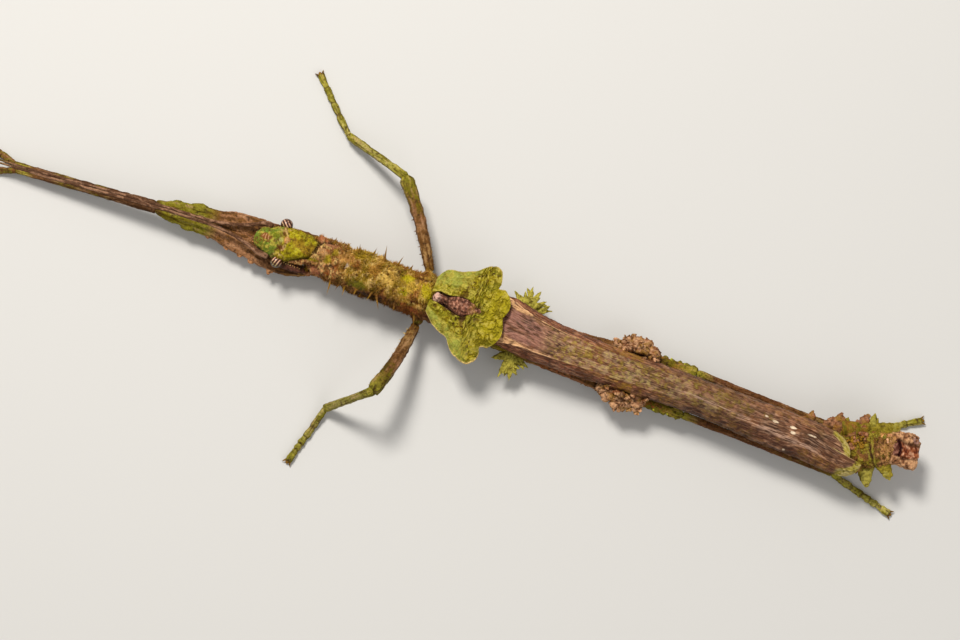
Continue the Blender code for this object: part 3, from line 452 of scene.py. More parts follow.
def material(name, roughness, grain, bump, coat=0.0, subsurface=0.0, contrast=0.35, specular=0.35,
             stretch=(1.0, 1.0, 1.0)):
    """A skin coloured by the mesh's tint, with grain of a size in mm in colour, gloss and relief."""
    made = bpy.data.materials.new(name)
    made.use_nodes = True
    nodes, links = made.node_tree.nodes, made.node_tree.links
    shader = nodes["Principled BSDF"]
    shader.inputs["Specular IOR Level"].default_value = specular
    shader.inputs["Coat Weight"].default_value = coat
    shader.inputs["Coat Roughness"].default_value = 0.25
    shader.inputs["Subsurface Weight"].default_value = subsurface
    shader.inputs["Subsurface Radius"].default_value = (0.6 * MM, 0.5 * MM, 0.2 * MM)
    shader.inputs["Subsurface Scale"].default_value = 1.0
    tint = nodes.new("ShaderNodeVertexColor")
    tint.layer_name = "tint"
    origin = nodes.new("ShaderNodeTexCoord")
    place = nodes.new("ShaderNodeVectorMath")
    place.operation = "MULTIPLY"
    place.inputs[1].default_value = stretch
    links.new(origin.outputs["Object"], place.inputs[0])

    def noise(size, detail, rough=0.6):
        node = nodes.new("ShaderNodeTexNoise")
        node.inputs["Scale"].default_value = 1 / (size * MM)
        node.inputs["Detail"].default_value = detail
        node.inputs["Roughness"].default_value = rough
        links.new(place.outputs["Vector"], node.inputs["Vector"])
        return node

    fine = noise(grain, 4)
    spots = nodes.new("ShaderNodeTexVoronoi")
    spots.inputs["Scale"].default_value = 1 / (0.8 * grain * MM)
    links.new(place.outputs["Vector"], spots.inputs["Vector"])
    shade = nodes.new("ShaderNodeMapRange")
    shade.inputs["From Min"].default_value = 0.3
    shade.inputs["From Max"].default_value = 0.7
    shade.inputs["To Min"].default_value = 1 - contrast
    shade.inputs["To Max"].default_value = 1 + contrast
    links.new(fine.outputs["Fac"], shade.inputs["Value"])
    scale = nodes.new("ShaderNodeVectorMath")
    scale.operation = "SCALE"
    links.new(tint.outputs["Color"], scale.inputs[0])
    links.new(shade.outputs["Result"], scale.inputs["Scale"])
    links.new(scale.outputs["Vector"], shader.inputs["Base Color"])
    gloss = nodes.new("ShaderNodeMapRange")
    gloss.inputs["From Min"].default_value = 0.3
    gloss.inputs["From Max"].default_value = 0.7
    gloss.inputs["To Min"].default_value = roughness + 0.12
    gloss.inputs["To Max"].default_value = roughness - 0.12
    links.new(fine.outputs["Fac"], gloss.inputs["Value"])
    links.new(gloss.outputs["Result"], shader.inputs["Roughness"])
    height = nodes.new("ShaderNodeMath")
    height.operation = "ADD"
    links.new(fine.outputs["Fac"], height.inputs[0])
    links.new(spots.outputs["Distance"], height.inputs[1])
    relief = nodes.new("ShaderNodeBump")
    relief.inputs["Strength"].default_value = 0.8
    relief.inputs["Distance"].default_value = bump * MM
    links.new(height.outputs["Value"], relief.inputs["Height"])
    links.new(relief.outputs["Normal"], shader.inputs["Normal"])
    return made


def dress(piece, look, slot, *replaced):
    """Gives a piece its material and body and hides the solids it stands for; slot is not used."""
    piece.data.materials.append(look)
    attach(piece, "root")
    if replaced:
        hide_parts(*replaced)
    return piece


def body_rings(xs, count):
    """Smooth rings of the body before any relief."""
    rows = rows_at(BODY, xs)
    pinch = 1 - sum(depth * np.exp(-((xs - x) / wide) ** 2) for x, depth, wide in GROOVES)
    angle = 2 * np.pi * (np.arange(count) + 0.5) / count
    c, s = np.cos(angle), np.sin(angle)
    across = np.sign(c) * np.abs(c) ** (2 / BODY_POWER)
    height = np.sign(s) * np.abs(s) ** (2 / BODY_POWER)
    reach = np.where(s[None] > 0, rows[:, 4:5], rows[:, 5:6]) * pinch[:, None]
    y = rows[:, 1:2] + (rows[:, 3] * pinch)[:, None] * across
    z = rows[:, 2:3] + reach * height
    return np.stack([np.broadcast_to(xs[:, None], y.shape), y, z], -1)


def near_line(p, knots):
    """Distance in x and y from points to a line through knots."""
    best = np.full(p.shape[:-1], 99.0)
    for a, b in zip(knots, knots[1:]):
        a, b = np.array(a), np.array(b)
        t = np.clip(((p[..., :2] - a) @ (b - a)) / ((b - a) @ (b - a)), 0, 1)
        best = np.minimum(best, np.linalg.norm(p[..., :2] - a - t[..., None] * (b - a), axis=-1))
    return best


# Patches of colour on the body's back as (x, y, half length, half width, paint)
PATCHES = [
    (-18.50, 2.30, 0.30, 0.55, RUST * 0.45), (-18.35, 0.40, 0.45, 0.34, RUST * 0.5),
    (-18.55, 1.35, 0.28, 0.36, linear(186, 184, 104)), (-17.95, 1.50, 0.36, 0.36, ROSE * 1.15),
    (-20.40, 1.15, 0.85, 0.48, RUST * 0.85), (-19.50, 1.75, 0.50, 0.45, linear(122, 132, 24)),
    (-14.40, 3.20, 0.62, 0.50, linear(158, 96, 60)), (-12.90, 2.80, 1.05, 0.52, linear(158, 108, 74)),
    (-12.66, 0.90, 0.65, 0.55, linear(168, 146, 30)), (-12.00, 2.00, 0.50, 0.45, linear(158, 134, 34)),
    (-13.96, 0.97, 0.36, 0.20, CREAM * 1.1), (-14.30, 0.38, 1.00, 0.20, LIME * 0.9),
    (-14.40, -0.30, 0.90, 0.42, linear(92, 44, 30)), (-13.50, -0.80, 0.60, 0.45, linear(150, 92, 62)),
    (-12.20, 0.30, 0.60, 0.20, UMBER), (-13.40, 1.70, 0.55, 0.40, linear(206, 160, 108)),
    (-10.20, 1.10, 0.24, 0.36, linear(222, 208, 196)), (-8.90, 2.70, 1.10, 0.60, linear(150, 124, 20)),
    (-10.60, 1.80, 1.00, 0.80, linear(184, 134, 70)), (-8.20, -0.60, 1.20, 0.50, linear(110, 104, 22)),
    (-6.90, 1.60, 1.00, 0.80, linear(166, 120, 46)), (-5.10, 1.26, 1.00, 0.90, linear(204, 166, 80)),
    (-2.80, 1.94, 0.80, 0.60, LIME * 1.15), (-2.80, 0.40, 0.60, 0.50, LIME * 1.1),
    (-0.30, 1.20, 0.90, 1.15, LIME * 1.3), (-2.00, 1.10, 0.70, 0.80, linear(204, 170, 66)),
    (-3.80, 3.40, 2.00, 0.45, linear(134, 78, 38)), (-1.03, 2.48, 1.15, 0.20, RUST * 0.35),
    (-0.91, -0.29, 1.15, 0.26, RUST * 0.35), (-1.70, -1.30, 1.40, 0.50, linear(134, 72, 36)),
    (-6.40, -1.40, 1.60, 0.35, UMBER),
]


def body_colours(p, push):
    """Markings of the body: green head, rosy brown neck, mossy middle, brown abdomen, green end, with painted shade in
    hollows, grooves, low down and on the left flank, and painted highlights on raised bumps of the middle.
    """
    x, y, z = p[..., 0], p[..., 1], p[..., 2]
    plain = np.ones(p.shape)
    broad, mid, fine = fractal(p, 1.3, 3, 1), fractal(p, 0.5, 3, 2), fractal(p, 0.2, 2, 3)
    near, second, label = cells(p, 0.5, 5)
    edge = second - near
    raised = ramp(push, 0.02, 0.26)
    dorsal = ramp(z, 3.9, 4.5)
    # Head
    head = blend(MOSS * 1.1 * plain, LIME, ramp(mid, 0.36, 0.56))
    head = blend(head, linear(186, 176, 48), ramp(fine, 0.54, 0.70) * 0.8)
    head = blend(head, OLIVE, ramp(-broad, -0.46, -0.38) * 0.7)
    head = blend(head, UMBER * 1.3, ramp(-fine, -0.36, -0.28) * 0.7)
    front = blend(TEAL * plain, LEAF * 1.05, ramp(mid, 0.46, 0.62))
    front = blend(front, linear(112, 138, 52), ramp(broad, 0.50, 0.62) * 0.7)
    front = blend(front, BARK * 0.8, 0.8 * ramp(-fine, -0.44, -0.34))
    head = blend(head, front, ramp(-x - 0.25 * np.abs(y - 1.2), 18.0, 18.6))
    # Painted shade low on the head's sides: umber behind the eyes, and umber round the cheeks' own cream dots.
    head = blend(head, UMBER, ramp(x, -17.9, -17.2) * ramp(-z, -4.35, -3.8) * 0.85)
    dots = ramp(-near, -0.30, -0.18) * ramp(label, 0.3, 0.4)
    head = blend(head, blend(UMBER * plain, CREAM, dots), ramp(-z, -4.2, -3.4) * 0.8)
    # Neck
    neck = blend(BARK * 1.2 * plain, linear(190, 134, 84), ramp(mid + 0.35 * raised, 0.46, 0.66))
    neck = blend(neck, RUST * 1.1, ramp(broad, 0.50, 0.62) * 0.7)
    neck = blend(neck, CREAM, ramp(fine + 0.2 * raised, 0.60, 0.74) * 0.7)
    # Painted shade in the recesses between the neck's bumps.
    neck = blend(neck, UMBER * 1.2, ramp(-edge, -0.14, -0.03) * 0.8)
    # Middle body
    moss = blend(linear(176, 132, 54) * plain, linear(144, 118, 24), ramp(broad, 0.46, 0.58) * 0.8)
    # Painted highlights: cream flecks on the raised bumps of the moss.
    moss = blend(moss, linear(214, 182, 110), ramp(fine + 0.25 * raised, 0.58, 0.74) * 0.8)
    moss = blend(moss, BARK, ramp(-mid, -0.40, -0.30) * 0.9)
    moss = blend(moss, RUST, ramp(-broad, -0.42, -0.34) * 0.7)
    moss = blend(moss, UMBER * 1.2, ramp(-fine, -0.38, -0.28) * 0.7)
    # Painted shade: rusty lower down and dark red-brown on the left flank, the side away from the light.
    moss = blend(moss, RUST * 0.55, ramp(-z, -4.2, -3.3) * ramp(broad, 0.32, 0.46) * 0.9)
    middle, half = (np.interp(x, [row[0] for row in BODY], [row[k] for row in BODY]) for k in (1, 3))
    flank = ramp((middle - y) / half, 0.42, 0.90)
    moss = blend(moss, blend(linear(70, 36, 20) * plain, linear(122, 72, 40), ramp(fine, 0.44, 0.62)), flank * 0.85)
    # Abdomen and its end
    belly = blend(BARK * plain, STRIP, ramp(broad, 0.4, 0.6))
    belly = blend(belly, OLIVE, ramp(mid, 0.52, 0.7) * 0.6)
    end = blend(linear(128, 84, 44) * plain, linear(128, 112, 26), ramp(mid, 0.45, 0.60))
    end = blend(end, linear(172, 158, 58), ramp(fine + 0.3 * raised, 0.60, 0.78) * 0.7)
    pinkish = ramp(x, 54.9, 55.8) * ramp(broad, 0.35, 0.5) * ramp(fine, 0.36, 0.5)
    end = blend(end, linear(196, 142, 90), pinkish * 0.85)
    end = blend(end, UMBER * 1.2, ramp(-fine, -0.40, -0.30) * 0.8)
    # Painted shade: a dark line where the abdomen's end has a groove.
    line = near_line(p, [(54.1, 3.2), (54.3, 2.35), (54.75, 1.39), (55.45, 0.40), (56.19, -0.32)])
    line = line + 0.3 * (mid - 0.5)
    end = blend(end, UMBER, ramp(-line, -0.18, -0.06) * 0.9)
    end = blend(end, linear(172, 162, 60), ramp(line, 0.14, 0.24) * ramp(-line, -0.40, -0.28) * ramp(fine, 0.38, 0.52) * 0.7)
    nape = np.interp(y, [row[1] for row in NAPE], [row[0] for row in NAPE])
    nape = np.where(z > 4.1, nape, -14.95)
    colour = blend(head, neck, ramp(x - nape, 0.0, 0.12))
    colour = blend(colour, moss, ramp(x + 1.6 * (broad - 0.5), -11.2, -10.2))
    for px, py, long, wide, paint in PATCHES:
        away = np.hypot((x - px) / long, (y - py) / wide) + 1.3 * (mid - 0.5) + 0.7 * (fine - 0.5)
        colour = blend(colour, paint, ramp(-away, -1.15, -0.65) * dorsal * 0.9)
    bars = np.cos(2 * np.pi * (x - 0.12 * (y - 1) ** 2) / 0.34 + 5 * broad) + 2.5 * (fine - 0.5)
    mouth = ramp(-np.hypot((x + 20.4) / 0.75, (y - 1.15) / 0.42) - 0.8 * (mid - 0.5), -1.0, -0.6)
    colour = blend(colour, linear(206, 156, 112), mouth * ramp(bars, 0.1, 0.7) * ramp(z, 3.7, 4.1) * 0.9)
    brow = near_line(p, BROW) + 0.55 * (mid - 0.5)
    colour = blend(colour, linear(206, 168, 116), dorsal * ramp(-brow, -0.20, -0.06) * ramp(fine, 0.38, 0.54) * 0.85)
    for ex, ey, _ in EYES.values():
        lid = np.abs(np.hypot(x - ex, y - ey) - 0.92) + 0.3 * (mid - 0.5)
        colour = blend(colour, linear(186, 156, 90), ramp(-lid, -0.15, -0.04) * ramp(fine, 0.34, 0.50) * 0.75)
    colour = blend(colour, belly, ramp(x, 0.6, 2.0))
    colour = blend(colour, end, ramp(x, 49.5, 51.5))
    # Painted shade in the grooves along the head's rear edge and the collar.
    rear = np.minimum(near_line(p, NAPE), near_line(p, COLLAR))
    colour = blend(colour, UMBER * 0.8, ramp(-rear, -0.17, -0.07) * dorsal * 0.9)
    shade = 0.66 + 0.34 * ramp(push, -0.14, 0.06)
    shade = shade * (0.72 + 0.28 * ramp(z, 2.0, 3.6))
    return colour * shade[..., None]


BODY_XS = np.concatenate([np.arange(-21.9, 1.0, 0.085), np.arange(1.0, 51.5, 0.24), np.arange(51.5, 57.62, 0.1)])
BODY_COUNT = 88


def body_relief(rings):
    """How far the skin stands out of the smooth rings: warts, lumps, folds and grain."""
    x, z = rings[..., 0], rings[..., 2]
    rough = 0.10 + 0.18 * ramp(x, -15.0, -14.0) * ramp(-x, -1.5, 0.5) + 0.20 * ramp(x, 52.0, 53.0)
    rough = rough * (1 - 0.4 * ramp(x, 3.0, 6.0) * ramp(-x, -52.0, -50.0))
    push = rough * 2 * (fractal(rings, 0.85, 4, 7) - 0.5)
    near, second, label = cells(rings, 0.5, 5)
    push += 0.12 * (0.35 - near) * ramp(x, -15.5, -14.5) + 0.05 * (0.35 - near)
    push += 0.10 * (fractal(rings, 0.30, 2, 17) - 0.5) * ramp(-x, -3.0, 1.0)
    spread = np.random.default_rng(5)
    warts = list(WARTS)
    for _ in range(190):
        at_x = spread.uniform(-20.5, 0.2)
        here = rows_at(BODY, np.array([at_x]))[0]
        turn = spread.uniform(-0.4, math.pi + 0.4)
        wide, tall = here[3] * math.cos(turn), here[4] * math.sin(turn)
        size = spread.uniform(0.14, 0.3) * (0.7 if at_x < -15 else 1.0)
        warts.append((at_x, here[1] + wide, here[2] + tall, size, 0.62 * size))
    for wx, wy, wz, radius, height in warts:
        rows = np.abs(rings[:, 0, 0] - wx) < 2.6 * radius
        away = np.sum((rings[rows] - (wx, wy, wz)) ** 2, axis=-1) / radius**2
        push[rows] += height * np.exp(-away)
    dorsal = ramp(z, 4.0, 4.6)
    nape, collar = near_line(rings, NAPE), near_line(rings, COLLAR)
    push -= 0.26 * dorsal * (np.exp(-(nape / 0.14) ** 2) + np.exp(-(collar / 0.12) ** 2))
    behind = ramp(x - np.interp(rings[..., 1], [row[1] for row in NAPE], [row[0] for row in NAPE]), 0.1, 0.3)
    push += 0.30 * dorsal * behind * np.exp(-((nape - 0.45) / 0.28) ** 2)
    push += 0.08 * dorsal * np.exp(-(near_line(rings, BROW) / 0.14) ** 2)
    push -= 0.12 * np.exp(-(np.hypot(x + 18.45, rings[..., 1] - 2.2) / 0.45) ** 2)
    push -= 0.12 * np.exp(-(np.hypot(x + 18.35, rings[..., 1] - 0.3) / 0.45) ** 2)
    return push


def build_body():
    rings = body_rings(BODY_XS, BODY_COUNT)
    push = body_relief(rings)
    normals = outwards(rings)
    skin = rings + normals * push[..., None]
    skin[..., 2] = np.maximum(skin[..., 2], 0.9)
    quads, tris = tube_faces(*skin.shape[:2])
    piece = new_object("body_skin", close_rings(skin), [quads, tris], close_colours(body_colours(skin, push)))
    nodes = ["head", "prothorax", "mesothorax", "metathorax", "abdomen_end"]
    nodes += [f"abdomen_{k}" for k in range(1, 5)]
    dress(piece, SKIN, "thorax", *nodes)
    return skin, outwards(skin), body_colours(skin, push)


def add_tufts(shape, roots, ways, lengths, halves, colours, places):
    """Thin bent spikes at roots, each painted from one spot of the skin's unwrap."""
    count = len(roots)
    ways = ways / np.linalg.norm(ways, axis=1, keepdims=True)
    helper = np.where(np.abs(ways[:, 2:3]) > 0.8, np.array([[1.0, 0, 0]]), np.array([[0, 0, 1.0]]))
    side = np.cross(helper, ways)
    side /= np.linalg.norm(side, axis=1, keepdims=True)
    other = np.cross(ways, side)
    bend = RNG.normal(0, 0.35, (count, 3)) * lengths[:, None]
    points = np.zeros((count, 7, 3))
    shades = np.zeros((count, 7, 3))
    # Each tuft is darker at its root as painted shade and lighter towards its tip.
    for ring, (share, thick) in enumerate(((0.0, 1.0), (0.55, 0.7))):
        middle = roots + ways * (lengths * share)[:, None] + bend * share**2 * 0.5
        for k in range(3):
            turn = 2 * math.pi * k / 3
            spoke = side * math.cos(turn) + other * math.sin(turn)
            points[:, 3 * ring + k] = middle + spoke * (halves * thick)[:, None]
            shades[:, 3 * ring + k] = colours * (0.8 + 0.3 * share)
    points[:, 6] = roots + ways * lengths[:, None] + bend * 0.5
    shades[:, 6] = colours * 1.25
    base = (np.arange(count) * 7)[:, None, None]
    quads = np.array([[k, (k + 1) % 3, 3 + (k + 1) % 3, 3 + k] for k in range(3)])
    tris = np.array([[3 + k, 3 + (k + 1) % 3, 6] for k in range(3)] + [[0, 2, 1]])
    patch = np.array([[0, 0], [1, 0], [0.5, 1], [0.2, 0.4], [0.8, 0.4], [0.5, 0.8], [0.5, 0.5]]) * 0.003
    uvs = (places[:, None] + patch[None]).reshape(-1, 2)
    shape.add(points.reshape(-1, 3), (base + quads).reshape(-1, 4), (base + tris).reshape(-1, 3),
              np.clip(shades, 0, 1).reshape(-1, 3), uvs)


# Mossy coat as (first x, last x, tufts, shortest, longest, lowest angle share)
COAT = [
    (-21.4, -15.0, 3600, 0.08, 0.22, 0.0),
    (-14.6, -10.4, 4200, 0.14, 0.38, -0.3),
    (-10.4, 0.2, 10000, 0.16, 0.48, -0.4),
    (51.8, 57.3, 2600, 0.12, 0.34, -0.5),
]


def build_coat(skin, normals, colours):
    """Moss-like tufts over the head, neck, middle body and the abdomen's end."""
    shape = Shape()
    xs = skin[:, 0, 0]
    n, m = skin.shape[:2]
    for first, last, count, short, long, low in COAT:
        rows = np.flatnonzero((xs >= first) & (xs <= last))
        i = RNG.choice(rows, count)
        turn = RNG.uniform(low, math.pi - low, count)
        j = (turn / (2 * math.pi) * m).astype(int) % m
        p, out = skin[i, j], normals[i, j]
        thick = fractal(p, 1.0, 2, 21)
        keep = thick > RNG.uniform(0.30, 0.55, count)
        p, out, i, j = p[keep], out[keep], i[keep], j[keep]
        count = len(p)
        ways = out + RNG.normal(0, 0.55, (count, 3)) + np.array([0.35, 0, 0.15])
        lengths = RNG.uniform(short, long, count) * (0.6 + 0.8 * thick[keep])
        tint = colours[i, j] * RNG.uniform(1.05, 1.75, (count, 1))
        paints = np.array([linear(184, 140, 58), LIME, linear(146, 122, 24), linear(222, 190, 118), BARK])
        chosen = paints[RNG.choice(len(paints), count, p=[0.34, 0.24, 0.16, 0.14, 0.12])]
        shaded = 1 - 0.65 * ramp(-np.cos(2 * math.pi * j / m), 0.45, 0.92)
        tint = blend(tint, chosen * shaded[:, None], RNG.uniform(0.1, 0.5, count))
        places = np.column_stack([0.01 + 0.98 * i / n, 0.01 + 0.98 * j / m])
        add_tufts(shape, p - out * 0.03, ways, lengths, RNG.uniform(0.028, 0.05, count), tint, places)
    piece = shape.build("body_moss")
    dress(piece, COAT_LOOK, "thorax")


def add_lobe(shape, root, tip, half, flat, dark, light, point=0.8, lift=0.0, seed=0, rough=0.08):
    """A lobe or thorn from root to tip; a high point makes it sharp, a low one blunt."""
    root, tip = np.array(root, float), np.array(tip, float)
    length = np.linalg.norm(tip - root)
    count = max(8, int(length / 0.12))
    t = np.linspace(0, 1, count)
    path = root + (tip - root) * t[:, None] + np.array([0, 0, lift]) * (4 * t * (1 - t))[:, None]
    halves = half * np.maximum(1 - t ** (1 / point), 0.02) ** point
    side, up = frames(path)
    angle = 2 * np.pi * np.arange(18) / 18
    rings = (path[:, None] + side[:, None] * (halves[:, None] * np.cos(angle))[..., None]
             + up[:, None] * (halves[:, None] * flat * np.sin(angle))[..., None])
    push = rough * 2 * (fractal(rings + seed * 3.7, 0.4, 3, seed) - 0.5) * np.minimum(1, 3 * t)[:, None]
    rings = rings + outwards(rings) * push[..., None] * min(1.0, half / 0.35)
    mottle = fractal(rings, 0.3, 3, seed + 3)
    colour = blend(dark * np.ones(rings.shape), light, ramp(mottle + 0.25 * t[:, None], 0.4, 0.75))
    fleck = fractal(rings, 0.22, 2, seed + 4)
    colour = blend(colour, UMBER, ramp(-fleck, -0.38, -0.28) * (0.7 if half > 0.3 else 0.2))
    if rough > 0.25:
        colour = blend(colour, OLIVE, ramp(fractal(rings, 0.5, 3, seed + 5), 0.52, 0.62) * 0.6)
        colour = blend(colour, RUST * 0.7, ramp(-fractal(rings, 0.4, 2, seed + 6), -0.42, -0.32) * 0.6)
    rings[..., 2] = np.maximum(rings[..., 2], 0.02)
    quads, tris = tube_faces(*rings.shape[:2])
    shape.add(close_rings(rings), quads, tris, close_colours(colour))


def add_blob(shape, centre, radius, dark, light, seed, rough=0.26):
    """A small rough wart, flattened a little."""
    n, m = 10, 14
    polar = np.linspace(0.15, math.pi - 0.15, n)[:, None]
    turn = 2 * np.pi * np.arange(m) / m
    ball = np.stack([np.sin(polar) * np.cos(turn), np.sin(polar) * np.sin(turn),
                     0.9 * np.cos(polar) * np.ones(m)], -1)
    grown = 1 + rough * 3 * (fractal(ball + seed * 1.7, 0.9, 3, seed) - 0.5)
    rings = np.array(centre, float) + ball * (radius * grown)[..., None]
    rings[..., 2] = np.maximum(rings[..., 2], 0.02)
    mottle = fractal(rings, 0.24, 3, seed + 3)
    # Painted light and shade: each wart is lighter on top and darker beneath.
    colour = blend(dark * np.ones(rings.shape), light, ramp(mottle + 0.2 * (grown - 1) + 0.12 * ball[..., 2], 0.38, 0.62))
    colour = colour * (0.62 + 0.38 * ramp(ball[..., 2], -0.5, 0.3))[..., None]
    quads, tris = tube_faces(n, m)
    shape.add(close_rings(rings), quads, tris, close_colours(colour))


def add_crust(shape, root, tip, half, count, sizes, dark, light, seed, rise=0.15):
    """Warts scattered over a patch that runs from root to tip."""
    spread = np.random.default_rng(seed)
    root, tip = np.array(root, float), np.array(tip, float)
    way = (tip - root) / np.linalg.norm(tip - root)
    across = np.array([-way[1], way[0], 0.0])
    for k in range(count):
        share = spread.uniform(0, 1) ** 0.7
        aside = spread.uniform(-1, 1) * half * math.sqrt(1 - 0.8 * share**3)
        centre = root + (tip - root) * share + across * aside + (0, 0, spread.uniform(-0.4, 1) * rise)
        add_blob(shape, centre, spread.uniform(*sizes), dark * spread.uniform(0.8, 1.1),
                 light * spread.uniform(0.85, 1.1), seed * 50 + k)


def surface_height(x, y):
    """Height of the smooth body at a place on its back."""
    here = rows_at(BODY, np.array([x]))[0]
    share = min(0.96, abs(y - here[1]) / here[3])
    return here[2] + here[4] * (1 - share**BODY_POWER) ** (1 / BODY_POWER)


def build_thorns():
    """Long thorns along both sides of the middle body and short ones scattered over it."""
    shape = Shape()
    for k, (x, y, tip_x, tip_y, rise) in enumerate(THORNS):
        z = surface_height(x, y)
        root = (x, y, z - 0.15)
        add_lobe(shape, root, (tip_x, tip_y, z + rise), 0.19, 1.0, BARK * 0.9, OLIVE, point=1.1,
                 lift=-0.08, seed=k, rough=0.03)
    spread = np.random.default_rng(9)
    for k in range(64):
        x = spread.uniform(-14.3, -0.8)
        turn = spread.uniform(0.15, math.pi - 0.15)
        here = rows_at(BODY, np.array([x]))[0]
        out = np.array([spread.normal(0, 0.3), math.cos(turn), math.sin(turn)])
        root = np.array([x, here[1] + here[3] * math.cos(turn) * 0.96, here[2] + here[4] * math.sin(turn) * 0.96])
        add_lobe(shape, root - out * 0.1, root + out * spread.uniform(0.30, 0.62), 0.12, 1.0,
                 BARK, OLIVE * 1.15, point=1.2, seed=k + 40, rough=0.02)
    dress(shape.build("thorax_thorns"), SKIN, "thorax")


def build_eyes():
    """Round eyes with fine slanting stripes, dark at the rim."""
    for side, sign in SIDES.items():
        centre = np.array(EYES[side])
        n, m = 84, 96
        polar = np.linspace(0.02, math.pi - 0.02, n)[:, None]
        turn = 2 * np.pi * np.arange(m) / m
        ball = np.stack([np.sin(polar) * np.cos(turn), np.sin(polar) * np.sin(turn),
                         np.cos(polar) * np.ones(m)], -1)
        rings = centre + ball * EYE_RADIUS * np.array([1.0, 0.96, 1.0])
        slope = -0.35 if side == "left" else 0.95
        lean = (ball[..., 0] + slope * ball[..., 1]) / math.hypot(1, slope)
        wave = lean * 2 * math.pi / 0.46 + 1.5 * (fractal(ball, 0.8, 2, 4) - 0.5)
        worn = fractal(ball, 0.3, 2, 6)
        stripes = ramp(np.cos(wave + 0.9), 0.15, 0.75) * ramp(ball[..., 2], -0.5, 0.0) * ramp(worn, 0.24, 0.40)
        pale = blend(EYE_PALE * np.ones(ball.shape), linear(190, 172, 112), ramp(-ball[..., 1] - 0.3 * ball[..., 0], 0.1, 0.6))
        colour = blend(EYE_DARK * np.ones(ball.shape), pale, stripes * 0.9)
        rim = np.hypot(ball[..., 0], ball[..., 1])
        colour = blend(colour, linear(56, 42, 14), ramp(rim, 0.80, 0.96))
        quads, tris = tube_faces(n, m)
        piece = new_object("eye_globe_" + side, close_rings(rings), [quads, tris], close_colours(colour))
        dress(piece, EYE, "eye", "eye_" + side)


def build_antennae():
    """Ringed feelers that leave the sides of the head's front and run over the fore legs."""
    for side, line in ANTENNA_LINES.items():
        root = ANTENNA_ROOTS[side]
        knots = [(*root, 0.34)] + [(*point, half) for point, half in zip(line, ANTENNA_HALF)]
        even = even_line(knots, 0.12)
        path, halves = even[:, :3], even[:, 3]
        run = np.arange(len(path)) * 0.12
        ring = np.abs(((run / 1.2) % 1) - 0.5) * 2
        halves = halves * (0.92 + 0.08 * ramp(-ring, -0.95, -0.6))
        halves = halves * (1 + 0.22 * ramp(-run, -2.0, -1.6))
        rings = limb(path, halves, 16, power=2.0)
        rings = rings + outwards(rings) * (0.06 * (fractal(rings, 0.4, 2, 8) - 0.5))[..., None]
        tone = fractal(rings, (0.9, 0.25, 0.25), 3, 12)
        colour = blend(linear(88, 58, 38) * np.ones(rings.shape), linear(148, 110, 84), ramp(tone, 0.46, 0.62))
        colour = blend(colour, UMBER, (ramp(ring, 0.84, 1.0)[:, None] * np.ones(16)) * 0.30)
        colour = blend(colour, MOSS, ramp(-rings[..., 0], 52.0, 56.0) * 0.6)
        quads, tris = tube_faces(*rings.shape[:2])
        piece = new_object("feeler_" + side, close_rings(rings), [quads, tris], close_colours(colour))
        dress(piece, SKIN, "antenna", "antenna_" + side)


def sheet_object(name, top, under, colour, under_colour):
    """A closed thin sheet between two grids."""
    n, m = top.shape[:2]
    index = np.arange(n * m).reshape(n, m)
    a, b, c, d = index[:-1, :-1], index[:-1, 1:], index[1:, 1:], index[1:, :-1]
    upper = np.stack([a, b, c, d], -1).reshape(-1, 4)
    lower = upper[:, ::-1] + n * m
    border = np.concatenate([index[0], index[1:, -1], index[-1, -2::-1], index[-2:0:-1, 0]])
    after = np.roll(border, -1)
    rim = np.stack([border, border + n * m, after + n * m, after], -1)
    p = top.reshape(-1, 3)
    facing = np.cross(p[upper[0, 1]] - p[upper[0, 0]], p[upper[0, 3]] - p[upper[0, 0]])
    faces = np.concatenate([upper, lower, rim])
    if facing[2] < 0:
        faces = faces[:, ::-1]
    points = np.concatenate([p, under.reshape(-1, 3)])
    colours = np.concatenate([colour.reshape(-1, 3), under_colour.reshape(-1, 3)])
    return new_object(name, points, [faces], colours)


def wing_sheet(side, sign):
    """One folded hindwing as grids: its surface and what its colours need."""
    centre, reach = WING_TIPS[side]
    xs = np.concatenate([np.arange(0.7, centre, 0.13), centre + reach * np.sin(np.linspace(0, 1.5, 30))])
    rows = rows_at(HINDWINGS, np.minimum(xs, HINDWINGS[-1][0]))
    closing = np.sqrt(np.clip(1 - (np.clip(xs - centre, 0, None) / reach) ** 2, 0, 1))[:, None]
    shares = np.concatenate([np.linspace(0, 0.62, 44), np.linspace(0.64, 1, 28)])
    ridge = np.interp(xs, [9.0, 10.5, 12.5, 21.0, 30.0], [0.90, 0.78, 0.66, 0.58, 0.55])[:, None]
    middle, half, top, edge = (rows[:, k:k + 1] for k in (1, 2, 3, 4))
    past = np.clip((xs[:, None] - centre) / reach, 0, 1)
    lap = np.interp(xs, [38.0, 46.0, 47.6, 50.0, 52.7], [0.0, 0.60, 0.74, 0.30, 0.0])[:, None]
    inner = middle - sign * 0.02
    if side == "left":
        middle = middle - 0.45 * past**2
        inner = middle + 0.02 + lap
    y = inner + (middle + sign * half * closing - inner) * shares
    flat_fall = 0.12 * (shares / 0.66) ** 2.2
    flat_fall = np.where(shares > 0.66, 0.12 + 0.88 * np.clip((shares - 0.66) / 0.34, 0, 1) ** 1.15, flat_fall)
    rounded = ramp(xs[:, None], 14.0, 26.0)
    fall = flat_fall * (1 - rounded) + rounded * (0.30 * shares**2 + 0.70 * shares**5)
    z = top - (top - edge) * (0.35 + 0.65 * closing) * fall
    z = z + (0.12 if side == "left" else -0.16) * np.minimum(1, 2.5 * lap) * ramp(-shares, -0.5, -0.3)
    x = xs[:, None] * np.ones(len(shares))
    return x, y, z, shares, ridge, closing, lap


